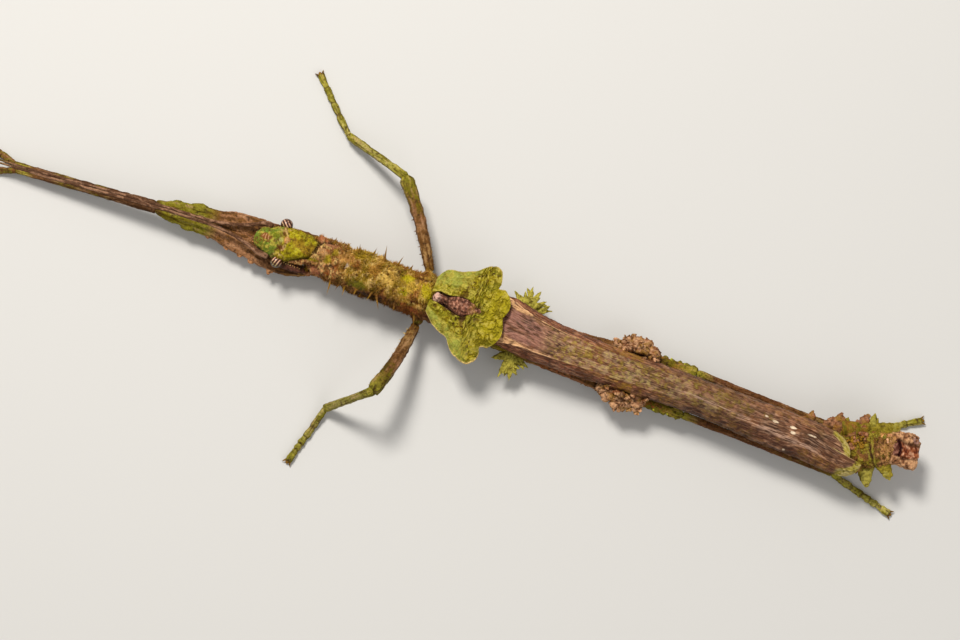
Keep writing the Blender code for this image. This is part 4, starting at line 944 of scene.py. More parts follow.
def build_hindwings():
    """Folded hindwings: fibrous purple brown, a ridge on each side near the base, pale tips."""
    for side, sign in SIDES.items():
        x, y, z, shares, ridge, closing, lap = wing_sheet(side, sign)
        centre, reach = WING_TIPS[side]
        smooth = np.stack([x, y, z], -1)
        plain = np.ones(smooth.shape)
        flow = np.stack([x, 2.4 * shares + 0.25 * (fractal(smooth, 2.5, 2, 29) - 0.5), 0 * x + sign * 5], -1)
        slanted = flow + np.stack([0.9 * flow[..., 1], 0 * x, 0 * x], -1)
        fibres = fractal(flow, (2.2, 0.12, 1.0), 3, 30)
        threads = fractal(flow, (1.0, 0.06, 1.0), 2, 38)
        weave = fractal(slanted, (0.7, 0.28, 1.0), 3, 33)
        clouds = fractal(smooth, 1.7, 3, 44)
        blots = fractal(smooth, 0.75, 3, 46)
        grain = fractal(smooth, 0.24, 2, 45)
        near, second, label = cells(slanted, (0.75, 0.20, 1.0), 35)
        net = second - near
        at_base = ramp(-x, -24.0, -15.0)
        main = np.exp(-((shares - ridge) / 0.024) ** 2) * (0.02 + 0.16 * at_base)
        relief = main + 0.18 * (fibres - 0.5) + 0.15 * (weave - 0.5) + 0.16 * (clouds - 0.5)
        relief = relief + 0.05 * (ramp(net, 0.0, 0.4) - 0.5) + 0.10 * (grain - 0.5)
        relief = relief * np.minimum(1, closing + 0.3)
        lean = np.radians(60) * np.clip(2 * shares - 1, 0, 1)
        out = np.stack([0 * lean, sign * np.sin(lean), np.cos(lean)], -1)[None]
        upper = smooth + out * relief[..., None]
        lower = smooth - out * 0.30
        colour = blend(PLUM_DARK * plain, PLUM, ramp(label + 1.2 * (fibres - 0.5), 0.15, 0.55))
        colour = blend(colour, LILAC, ramp(label + 1.6 * (weave - 0.5) + (threads - 0.5), 0.70, 1.0) * 0.8)
        colour = blend(colour, linear(122, 72, 44), ramp(clouds, 0.52, 0.64) * 0.5)
        colour = blend(colour, UMBER, ramp(-net, -0.10, -0.02) * 0.55)
        rear = ramp(x, 35.0, 41.0)
        colour = blend(colour, PLUM_DARK * 0.85, rear * ramp(-clouds, -0.60, -0.46) * 0.55)
        # Painted highlights: fine pale threads, more of them towards the rear.
        colour = blend(colour, linear(190, 150, 122), ramp(threads, 0.60, 0.70) * (0.25 + 0.25 * rear))
        colour = blend(colour, linear(118, 78, 56), ramp(-np.abs(clouds - 0.5), -0.10, 0.0) * 0.35)
        violet = ramp(-x, -20.0, -11.5) * ramp(-shares, -0.62, -0.45)
        colour = blend(colour, linear(140, 96, 84), violet * ramp(label, 0.1, 0.6) * 0.75)
        band = ramp(x, 13.5, 18.0) * ramp(-x, -42.0, -34.0) * ramp(-shares, -0.85, -0.5)
        colour = blend(colour, linear(160, 132, 98), band * ramp(blots, 0.50, 0.62) * (0.35 + 0.4 * label))
        colour = blend(colour, linear(132, 108, 34), band * ramp(-blots, -0.47, -0.37) * (0.3 + 0.5 * ramp(grain, 0.38, 0.58)))
        colour = blend(colour, linear(172, 152, 78), band * ramp(grain + 0.5 * (blots - 0.5), 0.56, 0.70) * 0.45)
        crest = np.interp(x, [33.0, 37.7, 41.6, 45.5, 50.0], [0.14, 0.20, 0.34, 0.48, 0.56])
        late = ramp(x, 30.0, 34.0) * ramp(-x, -51.0, -46.0)
        if side == "left":
            colour = blend(colour, linear(66, 38, 28), late * ramp(shares - crest, 0.06, 0.22) * (0.30 + 0.45 * ramp(-weave, -0.56, -0.44)))
            # Painted highlight along the left wing's crest.
            painted_highlight = np.exp(-((shares - crest) / 0.10) ** 2) * late * ramp(fibres + 0.5 * threads, 0.77, 0.90)
            colour = blend(colour, linear(194, 158, 136), painted_highlight * 0.7)
        else:
            colour = blend(colour, linear(164, 116, 88), late * ramp(blots, 0.44, 0.58) * 0.55)
            colour = blend(colour, linear(122, 98, 32), late * ramp(-clouds, -0.46, -0.38) * ramp(grain, 0.44, 0.56) * 0.6)
        strip = ramp(shares - ridge, 0.015, 0.05) * plain[..., 0]
        red = blend(STRIP * 1.15 * plain, linear(124, 74, 50), ramp(weave, 0.46, 0.60))
        red = blend(red, UMBER, ramp(-net, -0.12, -0.03) * 0.6)
        red = blend(red, linear(186, 134, 96), ramp(threads, 0.58, 0.68) * 0.6)
        red = blend(red, OLIVE, ramp(x, 19.0, 27.0) * ramp(clouds, 0.44, 0.56) * ramp(grain, 0.40, 0.52) * 0.8)
        colour = blend(colour, red, strip * (0.35 + 0.65 * ramp(-x, -34.0, -24.0)))
        gap = np.clip((13.0 - x) / 4.4, 0, 1) * 0.46
        beige = ramp(ridge - shares, -0.03, 0.02) * ramp(shares - (ridge - gap), -0.02, 0.06) * ramp(-x, -13.2, -12.0)
        sand = blend(linear(198, 154, 108) * plain, linear(136, 92, 60), ramp(-fibres - 0.4 * grain, -0.66, -0.56))
        colour = blend(colour, sand, beige * ramp(weave, 0.28, 0.44) * 0.85)
        pale = ramp(main, 0.08, 0.15) * ramp(-x, -21.0, -13.0) * ramp(weave, 0.30, 0.46)
        colour = blend(colour, linear(212, 168, 122), np.clip(pale, 0, 1) * 0.85)
        # Painted shade on the wing's steep outer edge.
        colour = blend(colour, UMBER * 1.1, ramp(shares, 0.90, 1.0) * plain[..., 0] * 0.5)
        past = np.clip((x - centre) / reach, 0, 1)
        outline = np.hypot(past, shares * closing)
        border = ramp(outline + 0.22 * (weave - 0.5) + 0.12 * (blots - 0.5), 0.66, 0.76) * ramp(x, centre - 0.1, centre + 0.5)
        tip = blend(linear(166, 150, 54) * plain, linear(176, 158, 96), ramp(weave, 0.45, 0.6))
        colour = blend(colour, blend(tip, MOSS * 0.9, ramp(-grain, -0.40, -0.30)), border * 0.95)
        for sx, sy, long, wide in WING_SPOTS:
            spot = np.hypot((x - sx) / long, (y - sy) / wide) + 0.9 * (grain - 0.5)
            colour = blend(colour, linear(232, 210, 180), ramp(-spot, -1.05, -0.75))
        if side == "left":
            # Painted highlight: a pale line along the left wing's inner edge near its tip.
            rim = ramp(-shares, -0.05, -0.02) * ramp(x, 50.0, 51.0) * ramp(-x, -53.4, -52.4)
            colour = blend(colour, linear(196, 170, 112), rim * 0.8)
        # Brightness is set along the wing's length, and the hollows of the relief get painted shade.
        gain = np.interp(x, [10, 20, 28, 35, 41, 50], [1.22, 1.15, 1.0, 0.80, 1.06, 1.04])
        colour = colour * (gain * (0.72 + 0.28 * ramp(relief, -0.10, 0.06)))[..., None]
        # The underside is a darker copy of the top's colours: painted shade.
        piece = sheet_object("wing_" + side, upper, lower, colour, colour * 0.6)
        dress(piece, WING, "hindwing", "hindwing_" + side)


def build_tegmina():
    """Short lobed forewings: pale smooth outer strip, dark-celled net within, cream rim."""
    for side, sign in SIDES.items():
        inner, outer = TEGMINA[side]
        n, m = 340, 130
        inside = smooth_even(inner, n)
        outside = smooth_even(outer, n)
        wobble = 0.22 * (fractal(np.column_stack([outside, np.full(n, 7.0 * sign)]), 0.55, 3, 47) - 0.5)
        away = outside - inside
        outside = outside + away / (np.linalg.norm(away, axis=1, keepdims=True) + 0.3) * wobble[:, None]
        v = np.linspace(0, 1, m)[None, :, None]
        flat = inside[:, None] * (1 - v) + outside[:, None] * v
        u = np.linspace(0, 1, n)[:, None] * np.ones(m)
        v = v[..., 0] * np.ones(u.shape)
        x, y = flat[..., 0], flat[..., 1]
        joined = ramp(x, 5.0, 6.4)
        p = np.stack([x, y, 3.3 * sign * (1 - joined)], -1)
        plain = np.ones(p.shape)
        z = TEGMEN_TOP + 0.14 - 0.022 * (y - 1.2) ** 2
        z = z - joined * (0.12 if side == "left" else 0.12 * ramp(-v, -0.14, 0.0))
        veins = sum(np.exp(-((v - s) / 0.016) ** 2) for s in (0.12, 0.27, 0.42, 0.57, 0.72, 0.86)) * 0.045 * (1 - joined)
        broad, middle, fine = fractal(p, 1.3, 3, 50), fractal(p, 0.6, 3, 51), fractal(p, 0.22, 3, 52)
        warp = np.stack([broad, middle, 0 * x], -1) * 0.6
        near, second, label = cells(p + warp, 0.42, 54)
        net = second - near
        ruffle = 0.10 * np.sin(2 * np.pi * 7.5 * u + 1.0) * ramp(v, 0.75, 1.0)
        fold = 0.30 * np.exp(-(near_line(p, FOLDS[side]) / 0.32) ** 2)
        start, end = (0.40, 0.50) if side == "left" else (0.24, 0.38)
        strip = ramp(v + 0.30 * (broad - 0.5), start, start + 0.16) * ramp(-u, -end - 0.05, -end + 0.08)
        netted = ramp(-near_line(p, NETS[side]) + 0.8 * (broad - 0.5), -1.25, -0.65) * ramp(-v, -0.98, -0.90)
        winding = np.abs(fractal(p + 0.5 * warp, 0.85, 3, 56) - 0.5)
        blister = 0.16 * ramp(net, 0.02, 0.5) * (label - 0.45) * (1 - 0.75 * strip)
        blister = blister + (ramp(winding, 0.0, 0.10) - 0.6) * 0.15 * (1 - 0.85 * strip)
        relief = veins + 0.6 * (broad - 0.5) + 0.24 * (middle - 0.5) + 0.10 * (fine - 0.5) + blister + ruffle + fold
        relief = relief * ramp(x, 0.2, 1.4)
        top = np.stack([x, y, z + relief - 0.25 * ramp(v, 0.7, 1.0)], -1)
        under = top - np.array([0, 0, 0.24])
        green = blend(LEAF * plain, linear(148, 150, 60), ramp(middle, 0.44, 0.6))
        green = blend(green, MOSS, ramp(-fine, -0.40, -0.30) * 0.6)
        green = blend(green, linear(196, 184, 110), ramp(-near, -0.26, -0.12) * ramp(label, 0.45, 0.6) * 0.35)
        green = blend(green, linear(186, 168, 92), ramp(veins, 0.015, 0.04) * 0.30)
        web = blend(linear(154, 138, 22) * plain, linear(134, 126, 24), ramp(middle, 0.42, 0.58))
        hollow = ramp(-near, -0.52, -0.30) * ramp(label + 0.6 * (broad - 0.5), 0.30, 0.55)
        deep = blend(linear(92, 68, 12) * plain, UMBER * 0.8, ramp(label, 0.5, 0.8) * 0.9)
        web = blend(web, deep, hollow * (0.25 + 0.70 * netted))
        # Painted highlights: pale flecks on the net away from its dark hollows.
        web = blend(web, linear(176, 160, 56), ramp(fine, 0.56, 0.7) * ramp(-hollow, -0.4, -0.1) * 0.6)
        web = blend(web, UMBER * 1.2, ramp(-fine, -0.38, -0.28) * (0.35 + 0.35 * netted))
        dark_lines = ramp(-winding, -0.055, -0.010) * ramp(broad, 0.34, 0.46) * ramp(fine, 0.36, 0.58)
        web = blend(web, linear(94, 70, 12), dark_lines * (0.10 + 0.50 * netted))
        # Painted highlights on the raised middles of the cells between the dark winding lines.
        web = blend(web, linear(188, 172, 78), ramp(winding, 0.075, 0.12) * ramp(fine, 0.42, 0.54) * 0.55)
        web = blend(web, linear(92, 66, 12), ramp(-middle, -0.44, -0.34) * ramp(-v, -0.5, -0.2) * (1 - joined) * 0.8)
        near_mound = np.hypot((x - 4.6) / 2.4, (y - 0.8) / 1.6)
        web = blend(web, UMBER * 1.3, ramp(-near_mound, -1.15, -0.75) * ramp(-middle, -0.56, -0.44) * 0.85)
        rear = ramp(x, 6.6, 8.0) * ramp(-np.abs(y - 1.4), -3.6, -2.4)
        web = blend(web, linear(168, 152, 24), rear * ramp(middle, 0.36, 0.50) * 0.75)
        colour = blend(web, green, strip)
        rim = ramp(v, 0.955, 0.98) * (1.0 if side == "left" else 0.4) * ramp(-u, -0.80, -0.70)
        colour = blend(colour, CREAM, rim * 0.95)
        # Painted shade in the hollows of the relief.
        colour = colour * (0.60 + 0.40 * ramp(relief, -0.22, 0.12))[..., None]
        # The underside is a darker copy of the top's colours: painted shade.
        piece = sheet_object("forewing_" + side, top, under, colour, colour * 0.55)
        dress(piece, LEAFY, "tegmen", "tegmen_" + side)


def smooth_even(knots, count):
    """count points evenly along the smooth line through knots."""
    fine = smooth_line(knots, 40 * len(knots))
    run = np.concatenate([[0], np.cumsum(np.linalg.norm(np.diff(fine, axis=0), axis=1))])
    places = np.linspace(0, run[-1], count)
    return np.column_stack([np.interp(places, run, fine[:, a]) for a in range(fine.shape[1])])


def build_mound():
    """The plum and pink mound between the forewings, with a pale knob in front."""
    xs = np.linspace(0.6, 6.6, 120)
    rows = rows_at(MOUND, xs)
    angle = 2 * np.pi * np.arange(48) / 48
    half = rows[:, 2:3]
    rings = np.stack([xs[:, None] * np.ones(48), rows[:, 1:2] + half * np.cos(angle),
                      6.20 + (0.50 + 0.42 * half) * np.sin(angle)], -1)
    lumps = fractal(rings, 0.6, 4, 61)
    near, second, label = cells(rings, 0.34, 62)
    knob = 0.34 * np.exp(-np.sum((rings - np.array([1.15, 1.03, 6.9])) ** 2, axis=-1) / 0.20)
    push = 0.45 * (lumps - 0.5) + knob + 0.14 * (0.4 - near)
    rings = rings + outwards(rings) * push[..., None]
    fine = fractal(rings, 0.22, 3, 63)
    plain = np.ones(rings.shape)
    colour = blend(linear(140, 88, 66) * plain, linear(78, 48, 38), ramp(-fine, -0.50, -0.38))
    colour = blend(colour, linear(204, 150, 124), ramp(fine, 0.54, 0.66) * 0.85)
    colour = blend(colour, linear(150, 116, 40), ramp(rings[..., 0], 4.8, 6.0) * ramp(lumps, 0.42, 0.55) * 0.6)
    colour = blend(colour, UMBER, ramp(-rings[..., 0], -3.0, -2.4) * ramp(rings[..., 0], 1.9, 2.3) * 0.6)
    colour = blend(colour, KNOB, ramp(knob, 0.06, 0.16) * ramp(fine, 0.34, 0.48))
    # Painted shade in the hollows of the mound's lumps.
    colour = colour * (0.62 + 0.38 * ramp(push, -0.12, 0.1))[..., None]
    quads, tris = tube_faces(*rings.shape[:2])
    piece = new_object("wing_mound", close_rings(rings), [quads, tris], close_colours(colour))
    dress(piece, SKIN, "thorax")


# Tones along each leg section as (share of its length, colour, mottle)
LEG_GREEN = linear(124, 116, 30)
LEG_BRIGHT = linear(160, 150, 48)
LEG_PALE = linear(172, 160, 84)
PINK_BARK = linear(148, 104, 70)
LEG_TAN = linear(160, 124, 72)
LEG_DARK = linear(78, 48, 22)
# The left middle leg hangs in the animal's own shade
SHADED_LEG = 0.76
LEG_TONES = {
    "fore_coxa": [(0, RUST * 0.7, BARK), (1, BARK * 0.7, OLIVE * 0.8)],
    "fore_femur": [(0, LEG_DARK, OLIVE * 0.8), (0.16, UMBER * 1.8, BARK * 1.1), (0.30, LEG_DARK * 1.1, PINK_BARK),
                   (0.36, BARK * 1.15, PINK_BARK * 1.2), (0.60, BARK, PINK_BARK),
                   (0.68, MOSS * 0.9, LEG_GREEN), (0.93, MOSS, LEG_GREEN * 1.1), (1, LEG_DARK, LEG_GREEN)],
    "fore_tibia": [(0, LEG_DARK, PLUM * 0.62), (0.3, LEG_DARK, PLUM * 0.62), (0.40, LEG_DARK, MOSS), (0.5, LEG_DARK, PLUM * 0.62),
                   (0.64, LEG_DARK, MOSS), (0.74, LEG_DARK, PLUM * 0.62), (0.86, BARK, PINK_BARK), (0.93, LEG_GREEN, LEG_BRIGHT), (1, MOSS, BARK)],
    "fore_tarsus": [(0, LEG_GREEN, BARK), (1, BARK, PINK_BARK)],
    "mid_coxa": [(0, RUST * 0.7, MOSS), (1, BARK, MOSS)],
    "mid_femur": [(0, BARK, OLIVE * 0.9), (0.2, BARK, LEG_TAN), (0.55, BARK * 0.9, PINK_BARK * 0.95),
                  (0.70, MOSS * 0.8, BARK), (1, LEG_GREEN * 0.9, LEG_BRIGHT * 0.9)],
    "mid_tibia": [(0, LEG_GREEN, LEG_BRIGHT), (0.3, LEG_GREEN, LEG_PALE * 0.85), (0.8, LEG_GREEN, LEG_PALE * 0.85),
                  (1, LEG_GREEN, LEG_BRIGHT)],
    "mid_tarsus": [(0, LEG_GREEN, LEG_PALE), (1, LEG_GREEN, LEG_BRIGHT)],
    "hind_coxa": [(0, RUST * 0.7, MOSS), (1, MOSS, LIME * 0.8)],
    "hind_femur": [(0, MOSS, LIME * 0.8), (0.16, MOSS, BARK), (0.26, BARK, RUST), (0.6, BARK, PINK_BARK * 0.8),
                   (0.76, BARK, MOSS), (0.84, MOSS * 0.8, RUST), (1, LEG_GREEN, LEG_BRIGHT)],
    "hind_tibia": [(0, LEG_GREEN, LEG_BRIGHT), (0.12, BARK, STRIP), (0.6, STRIP, BARK), (1, BARK, MOSS)],
    "hind_tarsus": [(0, LEG_GREEN * 1.1, LEG_BRIGHT), (1, LEG_GREEN * 1.3, LEG_PALE * 1.1)],
}


def toned(rings, tones, seed):
    """Colours of a leg section: tones along it in lengthwise stripes and mottles, darker beneath as painted shade."""
    t = np.linspace(0, 1, len(rings))
    keys = [row[0] for row in tones]
    first = np.stack([np.interp(t, keys, [row[1][a] for row in tones]) for a in range(3)], -1)
    other = np.stack([np.interp(t, keys, [row[2][a] for row in tones]) for a in range(3)], -1)
    n, m = rings.shape[:2]
    run = np.concatenate([[0], np.cumsum(np.linalg.norm(np.diff(rings.mean(1), axis=0), axis=1))])
    angle = 2 * np.pi * np.arange(m) / m
    round_it = np.stack([run[:, None] * np.ones(m), 0.5 * np.cos(angle) * np.ones((n, 1)),
                         0.5 * np.sin(angle) * np.ones((n, 1))], -1)
    stripe = fractal(round_it, (1.6, 0.14, 0.14), 3, seed)
    mottle = 0.4 * fractal(rings, 0.45, 3, seed) + 0.6 * stripe
    ones = np.ones(rings.shape)
    colour = blend(first[:, None] * ones, other[:, None] * ones, ramp(mottle, 0.43, 0.57))
    fleck = fractal(rings, 0.25, 2, seed + 5)
    colour = blend(colour, UMBER, ramp(-fleck, -0.36, -0.26) * 0.8)
    colour = blend(colour, UMBER * 1.4, ramp(-stripe, -0.42, -0.32) * 0.6)
    colour = blend(colour, linear(172, 134, 100), ramp(stripe, 0.60, 0.70) * 0.40)
    # Painted shade on the lower side of each section.
    lower = ramp(rings.mean(1)[:, None, 2] - rings[..., 2], 0.0, 0.35)
    return colour * (1 - 0.35 * lower)[..., None]


def add_section(shape, knots, halves, tones, seed, count=40, keel=0.0, teeth=0.0, lump=0.12, step=0.12, tall=9.0):
    """One section of a leg, its keels toothed, with uneven skin and no higher than tall each way."""
    line = even_line(knots, step)
    path = line[:, :3]
    run = np.arange(len(path)) * step
    width = smooth_line(np.array(halves)[:, None], len(path))[:, 0]
    rings = limb(path, width, count, keel=keel, flat=np.minimum(1, tall / width))
    angle = 2 * np.pi * (np.arange(count) + 0.5) / count
    corner = np.maximum(0, -np.cos(4 * angle)) ** 4
    cell = np.floor(run / 0.95).astype(np.int64)
    strength = 0.3 + 0.7 * hashed(cell, cell * 0, cell * 0, seed)
    notch = np.maximum(0, np.sin(2 * np.pi * run / 0.95)) ** 6 * strength
    push = lump * 2 * (fractal(rings, 0.6, 4, seed + 9) - 0.5) + teeth * notch[:, None] * corner
    rings = rings + outwards(rings) * push[..., None]
    rings[..., 2] = np.maximum(rings[..., 2], 0.03)
    quads, tris = tube_faces(*rings.shape[:2])
    shape.add(close_rings(rings), quads, tris, close_colours(toned(rings, tones, seed)))


def add_tarsus(shape, ankle, toe, tones, seed):
    """A foot of five segments with a dark joint each, a pad and two claws."""
    ankle, toe = np.array(ankle), np.array(toe)
    t = np.linspace(0, 1, 130)
    path = ankle + (toe - ankle) * t[:, None]
    path[:, 2] = toe[2] + (ankle[2] - toe[2]) * (1 - ramp(t, 0, 0.42)) ** 1.5
    ends = np.array([0.0] + TARSOMERES)
    place = np.searchsorted(ends, t, side="right") - 1
    place = np.clip(place, 0, 4)
    share = (t - ends[place]) / (ends[place + 1] - ends[place])
    halves = TARSUS_HALF * (0.78 + 0.20 * ramp(share, 0.1, 0.8)) * (1 - 0.20 * ramp(share, 0.90, 1.0))
    side, up = frames(path)
    angle = 2 * np.pi * np.arange(18) / 18
    rings = (path[:, None] + side[:, None] * (halves[:, None] * np.cos(angle))[..., None]
             + up[:, None] * (halves[:, None] * 0.9 * np.sin(angle))[..., None])
    rings[[0, -1]] = path[[0, -1], None] + (rings[[0, -1]] - path[[0, -1], None]) * 0.4
    rings = rings + outwards(rings) * (0.24 * (fractal(rings, 0.40, 3, seed) - 0.5))[..., None]
    rings[..., 2] = np.maximum(rings[..., 2], 0.0)
    colour = toned(rings, tones, seed)
    dark = ramp(share, 0.84, 0.96) + ramp(-share, -0.08, -0.02)
    colour = blend(colour, UMBER * 1.2, 0.55 * np.clip(dark, 0, 1)[:, None] * np.ones(18))
    quads, tris = tube_faces(*rings.shape[:2])
    shape.add(close_rings(rings), quads, tris, close_colours(colour))
    along = (toe - ankle) * (1, 1, 0)
    along /= np.linalg.norm(along)
    across = np.array([-along[1], along[0], 0.0])
    add_lobe(shape, toe - along * 0.35, toe + along * 0.32 + (0, 0, -0.1), 0.26, 0.8, BARK, OLIVE, point=0.4,
             seed=seed, rough=0.03)
    for sign in (-1, 1):
        root = toe - along * 0.25 + across * sign * 0.16
        tip = toe + along * 0.42 + across * sign * 0.58 + np.array([0, 0, -0.20])
        add_lobe(shape, root, tip, 0.16, 1.0, UMBER * 1.4, OLIVE * 0.8, point=0.8, lift=0.16, seed=seed, rough=0.0)


# Low lobes of the fore femora as (share of the length, reach, half width, whether green)
FORE_LOBES = {
    "right": [(0.36, 1.30, 1.10, 0), (0.53, 1.22, 0.90, 0), (0.740, 1.05, 1.50, 1), (0.860, 0.78, 1.30, 1),
              (0.46, -1.15, 1.60, 0), (0.64, -0.90, 0.90, 1)],
    "left": [(0.22, 1.30, 0.60, 2), (0.33, 1.46, 0.62, 2), (0.43, 1.56, 0.66, 2), (0.53, 1.36, 0.60, 2), (0.66, 1.00, 0.90, 0),
             (0.790, 1.02, 1.20, 1), (0.90, 0.62, 1.00, 1), (0.44, -1.15, 1.40, 0)],
}
FORE_LOBE_TONES = [(BARK, PINK_BARK), (MOSS * 0.8, LEG_GREEN), (BARK, linear(196, 138, 92))]
STAR_GREEN = linear(176, 164, 66)
STAR_DARK = linear(96, 84, 18)
LUMP_DARK = linear(100, 60, 34)
LUMP_PALE = linear(214, 164, 122)
# Lobes of the hind femora: star points near the base and pale lumps further out, as tips (x, y)
STARS = {
    "right": ((11.4, 3.6, 2.7), [(9.3, 5.4), (10.5, 5.8), (11.2, 6.6), (12.3, 6.3), (13.3, 5.4), (14.3, 4.6)]),
    "left": ((11.5, -2.0, 2.6), [(9.4, -3.1), (10.9, -5.0), (11.6, -4.6), (12.3, -5.0), (12.9, -4.1), (13.9, -2.7)]),
}
LUMPS = {
    "right": [(23.2, 4.2), (23.9, 4.9), (25.1, 5.2), (26.1, 5.3), (27.3, 4.7)],
    "left": [(23.0, -2.8), (23.9, -3.5), (25.1, -3.9), (25.9, -3.8), (27.3, -3.4)],
}


def femur_lobes(shape, kind, side, knots):
    """Lobes that make each femur look like mossy bark."""
    sign = SIDES[side]
    line = even_line(knots, 0.1)
    spread = np.random.default_rng(len(kind) * 7 + (sign > 0))

    def edge_lobe(share, reach, half, dark, light, flat, point, lift=0.0, slant=0.0, rough=0.08):
        """A lobe on the femur's outer edge, or on its inner one where the reach is negative."""
        k = int(share * (len(line) - 2))
        along = line[k + 1] - line[k]
        along = along / np.linalg.norm(along)
        out = np.array([-along[1], along[0], 0.0])
        out /= np.linalg.norm(out)
        rear = out[1] * sign > 0 if kind != "mid" else out[0] > 0
        out = out * (1 if rear else -1) * (1 if reach > 0 else -1)
        tip = line[k] + out * abs(reach) + along * slant + np.array([0, 0, lift])
        add_lobe(shape, line[k], tip, half, flat, dark, light, point, seed=k, rough=rough)

    if kind == "fore":
        for share, reach, half, tone in FORE_LOBES[side]:
            edge_lobe(share, reach, half, *FORE_LOBE_TONES[tone], 0.45, 0.5, slant=spread.uniform(-0.2, 0.2), rough=0.18)
    elif kind == "mid":
        for share in np.arange(0.08, 0.97, 0.085):
            edge_lobe(share + spread.uniform(-0.02, 0.02), spread.uniform(0.68, 0.9), 0.13, UMBER * 1.3, OLIVE, 1.0, 0.9)
        tooth = (UMBER, BARK) if side == "right" else (LEG_TAN, CREAM)
        for share in np.arange(0.12, 0.97, 0.07):
            edge_lobe(share + spread.uniform(-0.03, 0.03), -spread.uniform(0.84, 1.04), 0.17, *tooth, 0.9, 0.8)
    else:
        base, tips = STARS[side]
        for k, (x, y) in enumerate(tips):
            way = np.array([x - base[0], y - base[1]])
            rise = spread.uniform(-0.2, 0.45)
            tip = np.array([x, y, base[2] + rise])
            add_lobe(shape, base, tip, spread.uniform(0.52, 0.68), 0.5, STAR_DARK, STAR_GREEN, 0.78,
                     lift=spread.uniform(0.0, 0.3), seed=k, rough=0.14)
            for _ in range(1):
                share, turn = spread.uniform(0.25, 0.60), spread.uniform(-0.7, 0.7)
                turned = np.array([way[0] * math.cos(turn) - way[1] * math.sin(turn),
                                   way[0] * math.sin(turn) + way[1] * math.cos(turn)])
                root = np.array([*(base[:2] + way * share), base[2] + rise * share])
                barb = root + np.array([*(turned * spread.uniform(0.30, 0.50)), spread.uniform(-0.1, 0.25)])
                add_lobe(shape, root, barb, spread.uniform(0.20, 0.34), 0.7, STAR_DARK, STAR_GREEN, 0.6,
                         seed=k, rough=0.12)
        for k, (x, y) in enumerate(LUMPS[side]):
            root = (x + 0.1, y - sign * 2.1, 3.5)
            add_lobe(shape, root, (x, y - sign * 0.05, 3.2), 0.95, 0.8, LUMP_DARK, LUMP_PALE * 0.85, 0.42, seed=k, rough=0.50)
            for _ in range(8):
                inward = spread.uniform(0.1, 2.1)
                start = np.array([x + spread.uniform(-0.8, 0.8), y - sign * inward, 2.9 + 0.85 * inward])
                way = np.array([spread.uniform(-0.8, 0.8), sign * spread.uniform(0.2, 1.0), spread.uniform(0.0, 0.9)])
                way = way / np.linalg.norm(way) * spread.uniform(0.50, 0.80)
                shade = spread.uniform(0.42, 1.12)
                add_lobe(shape, start, start + way, spread.uniform(0.30, 0.46), spread.uniform(0.22, 0.36),
                         LUMP_DARK * shade, LUMP_PALE * shade, 0.80, seed=k, rough=0.28)
        for share in np.arange(0.80, 0.985, 0.036):
            edge_lobe(share, spread.uniform(0.58, 0.80), spread.uniform(0.40, 0.70), BARK * 0.8, LEG_GREEN * 0.9,
                      0.7, 0.4, lift=spread.uniform(0.0, 0.3), slant=spread.uniform(-0.3, 0.3), rough=0.22)
        for share in (0.86, 0.93):
            edge_lobe(share, 0.70, 0.20, MOSS, linear(190, 186, 60), 0.8, 0.5, lift=0.55, rough=0.1)
        for share in np.arange(0.20, 0.78, 0.07):
            edge_lobe(share + spread.uniform(-0.02, 0.02), spread.uniform(0.60, 0.78), 0.18, BARK, OLIVE, 0.8, 0.7,
                      lift=spread.uniform(0, 0.3))


def shaded(tones, shade):
    """The same tones, darker or lighter."""
    return [(place, dark * shade, light * shade) for place, dark, light in tones]


def build_legs():
    for number, (name, (root, hip, bends, knee, ankle, toe)) in enumerate(LEGS.items()):
        kind, side = name.split("_")
        coxa, femur, tibia = LEG_SIZES[kind]
        seed = 100 + 20 * number
        shade = SHADED_LEG if name == "mid_left" else 1.0
        shape = Shape()
        hip, knee = np.array(hip), np.array(knee)
        add_section(shape, [root, (np.array(root) + hip) / 2, hip], coxa, LEG_TONES[kind + "_coxa"], seed)
        knots = [tuple(hip)] + list(bends) + [tuple(knee)]
        if kind == "fore":
            add_section(shape, knots, femur, LEG_TONES["fore_femur"], seed + 1, count=56, keel=0.02, lump=0.16,
                        tall=FORE_FEMUR_TALL)
        else:
            add_section(shape, knots, femur, shaded(LEG_TONES[kind + "_femur"], shade), seed + 1, keel=0.08, teeth=0.10,
                        lump=0.16)
        along = (np.array(ankle) - knee) / np.linalg.norm(np.array(ankle) - knee)
        middle = (knee + np.array(ankle)) / 2
        add_section(shape, [knee - along * 0.15, middle, np.array(ankle) + along * 0.15],
                    (tibia[0] * 1.10, tibia[0] * 0.94, tibia[1] * 0.96, tibia[1], tibia[1] * 1.02),
                    shaded(LEG_TONES[kind + "_tibia"], shade), seed + 2, keel=0.08, teeth=0.05, lump=0.10)
        femur_lobes(shape, kind, side, knots)
        add_tarsus(shape, ankle, toe, shaded(LEG_TONES[kind + "_tarsus"], shade), seed + 3)
        piece = shape.build("leg_" + name)
        nodes = [f"{kind}_{section}_{side}" for section in ("coxa", "femur", "tibia", "tarsus")]
        dress(piece, SKIN, "leg", *nodes)


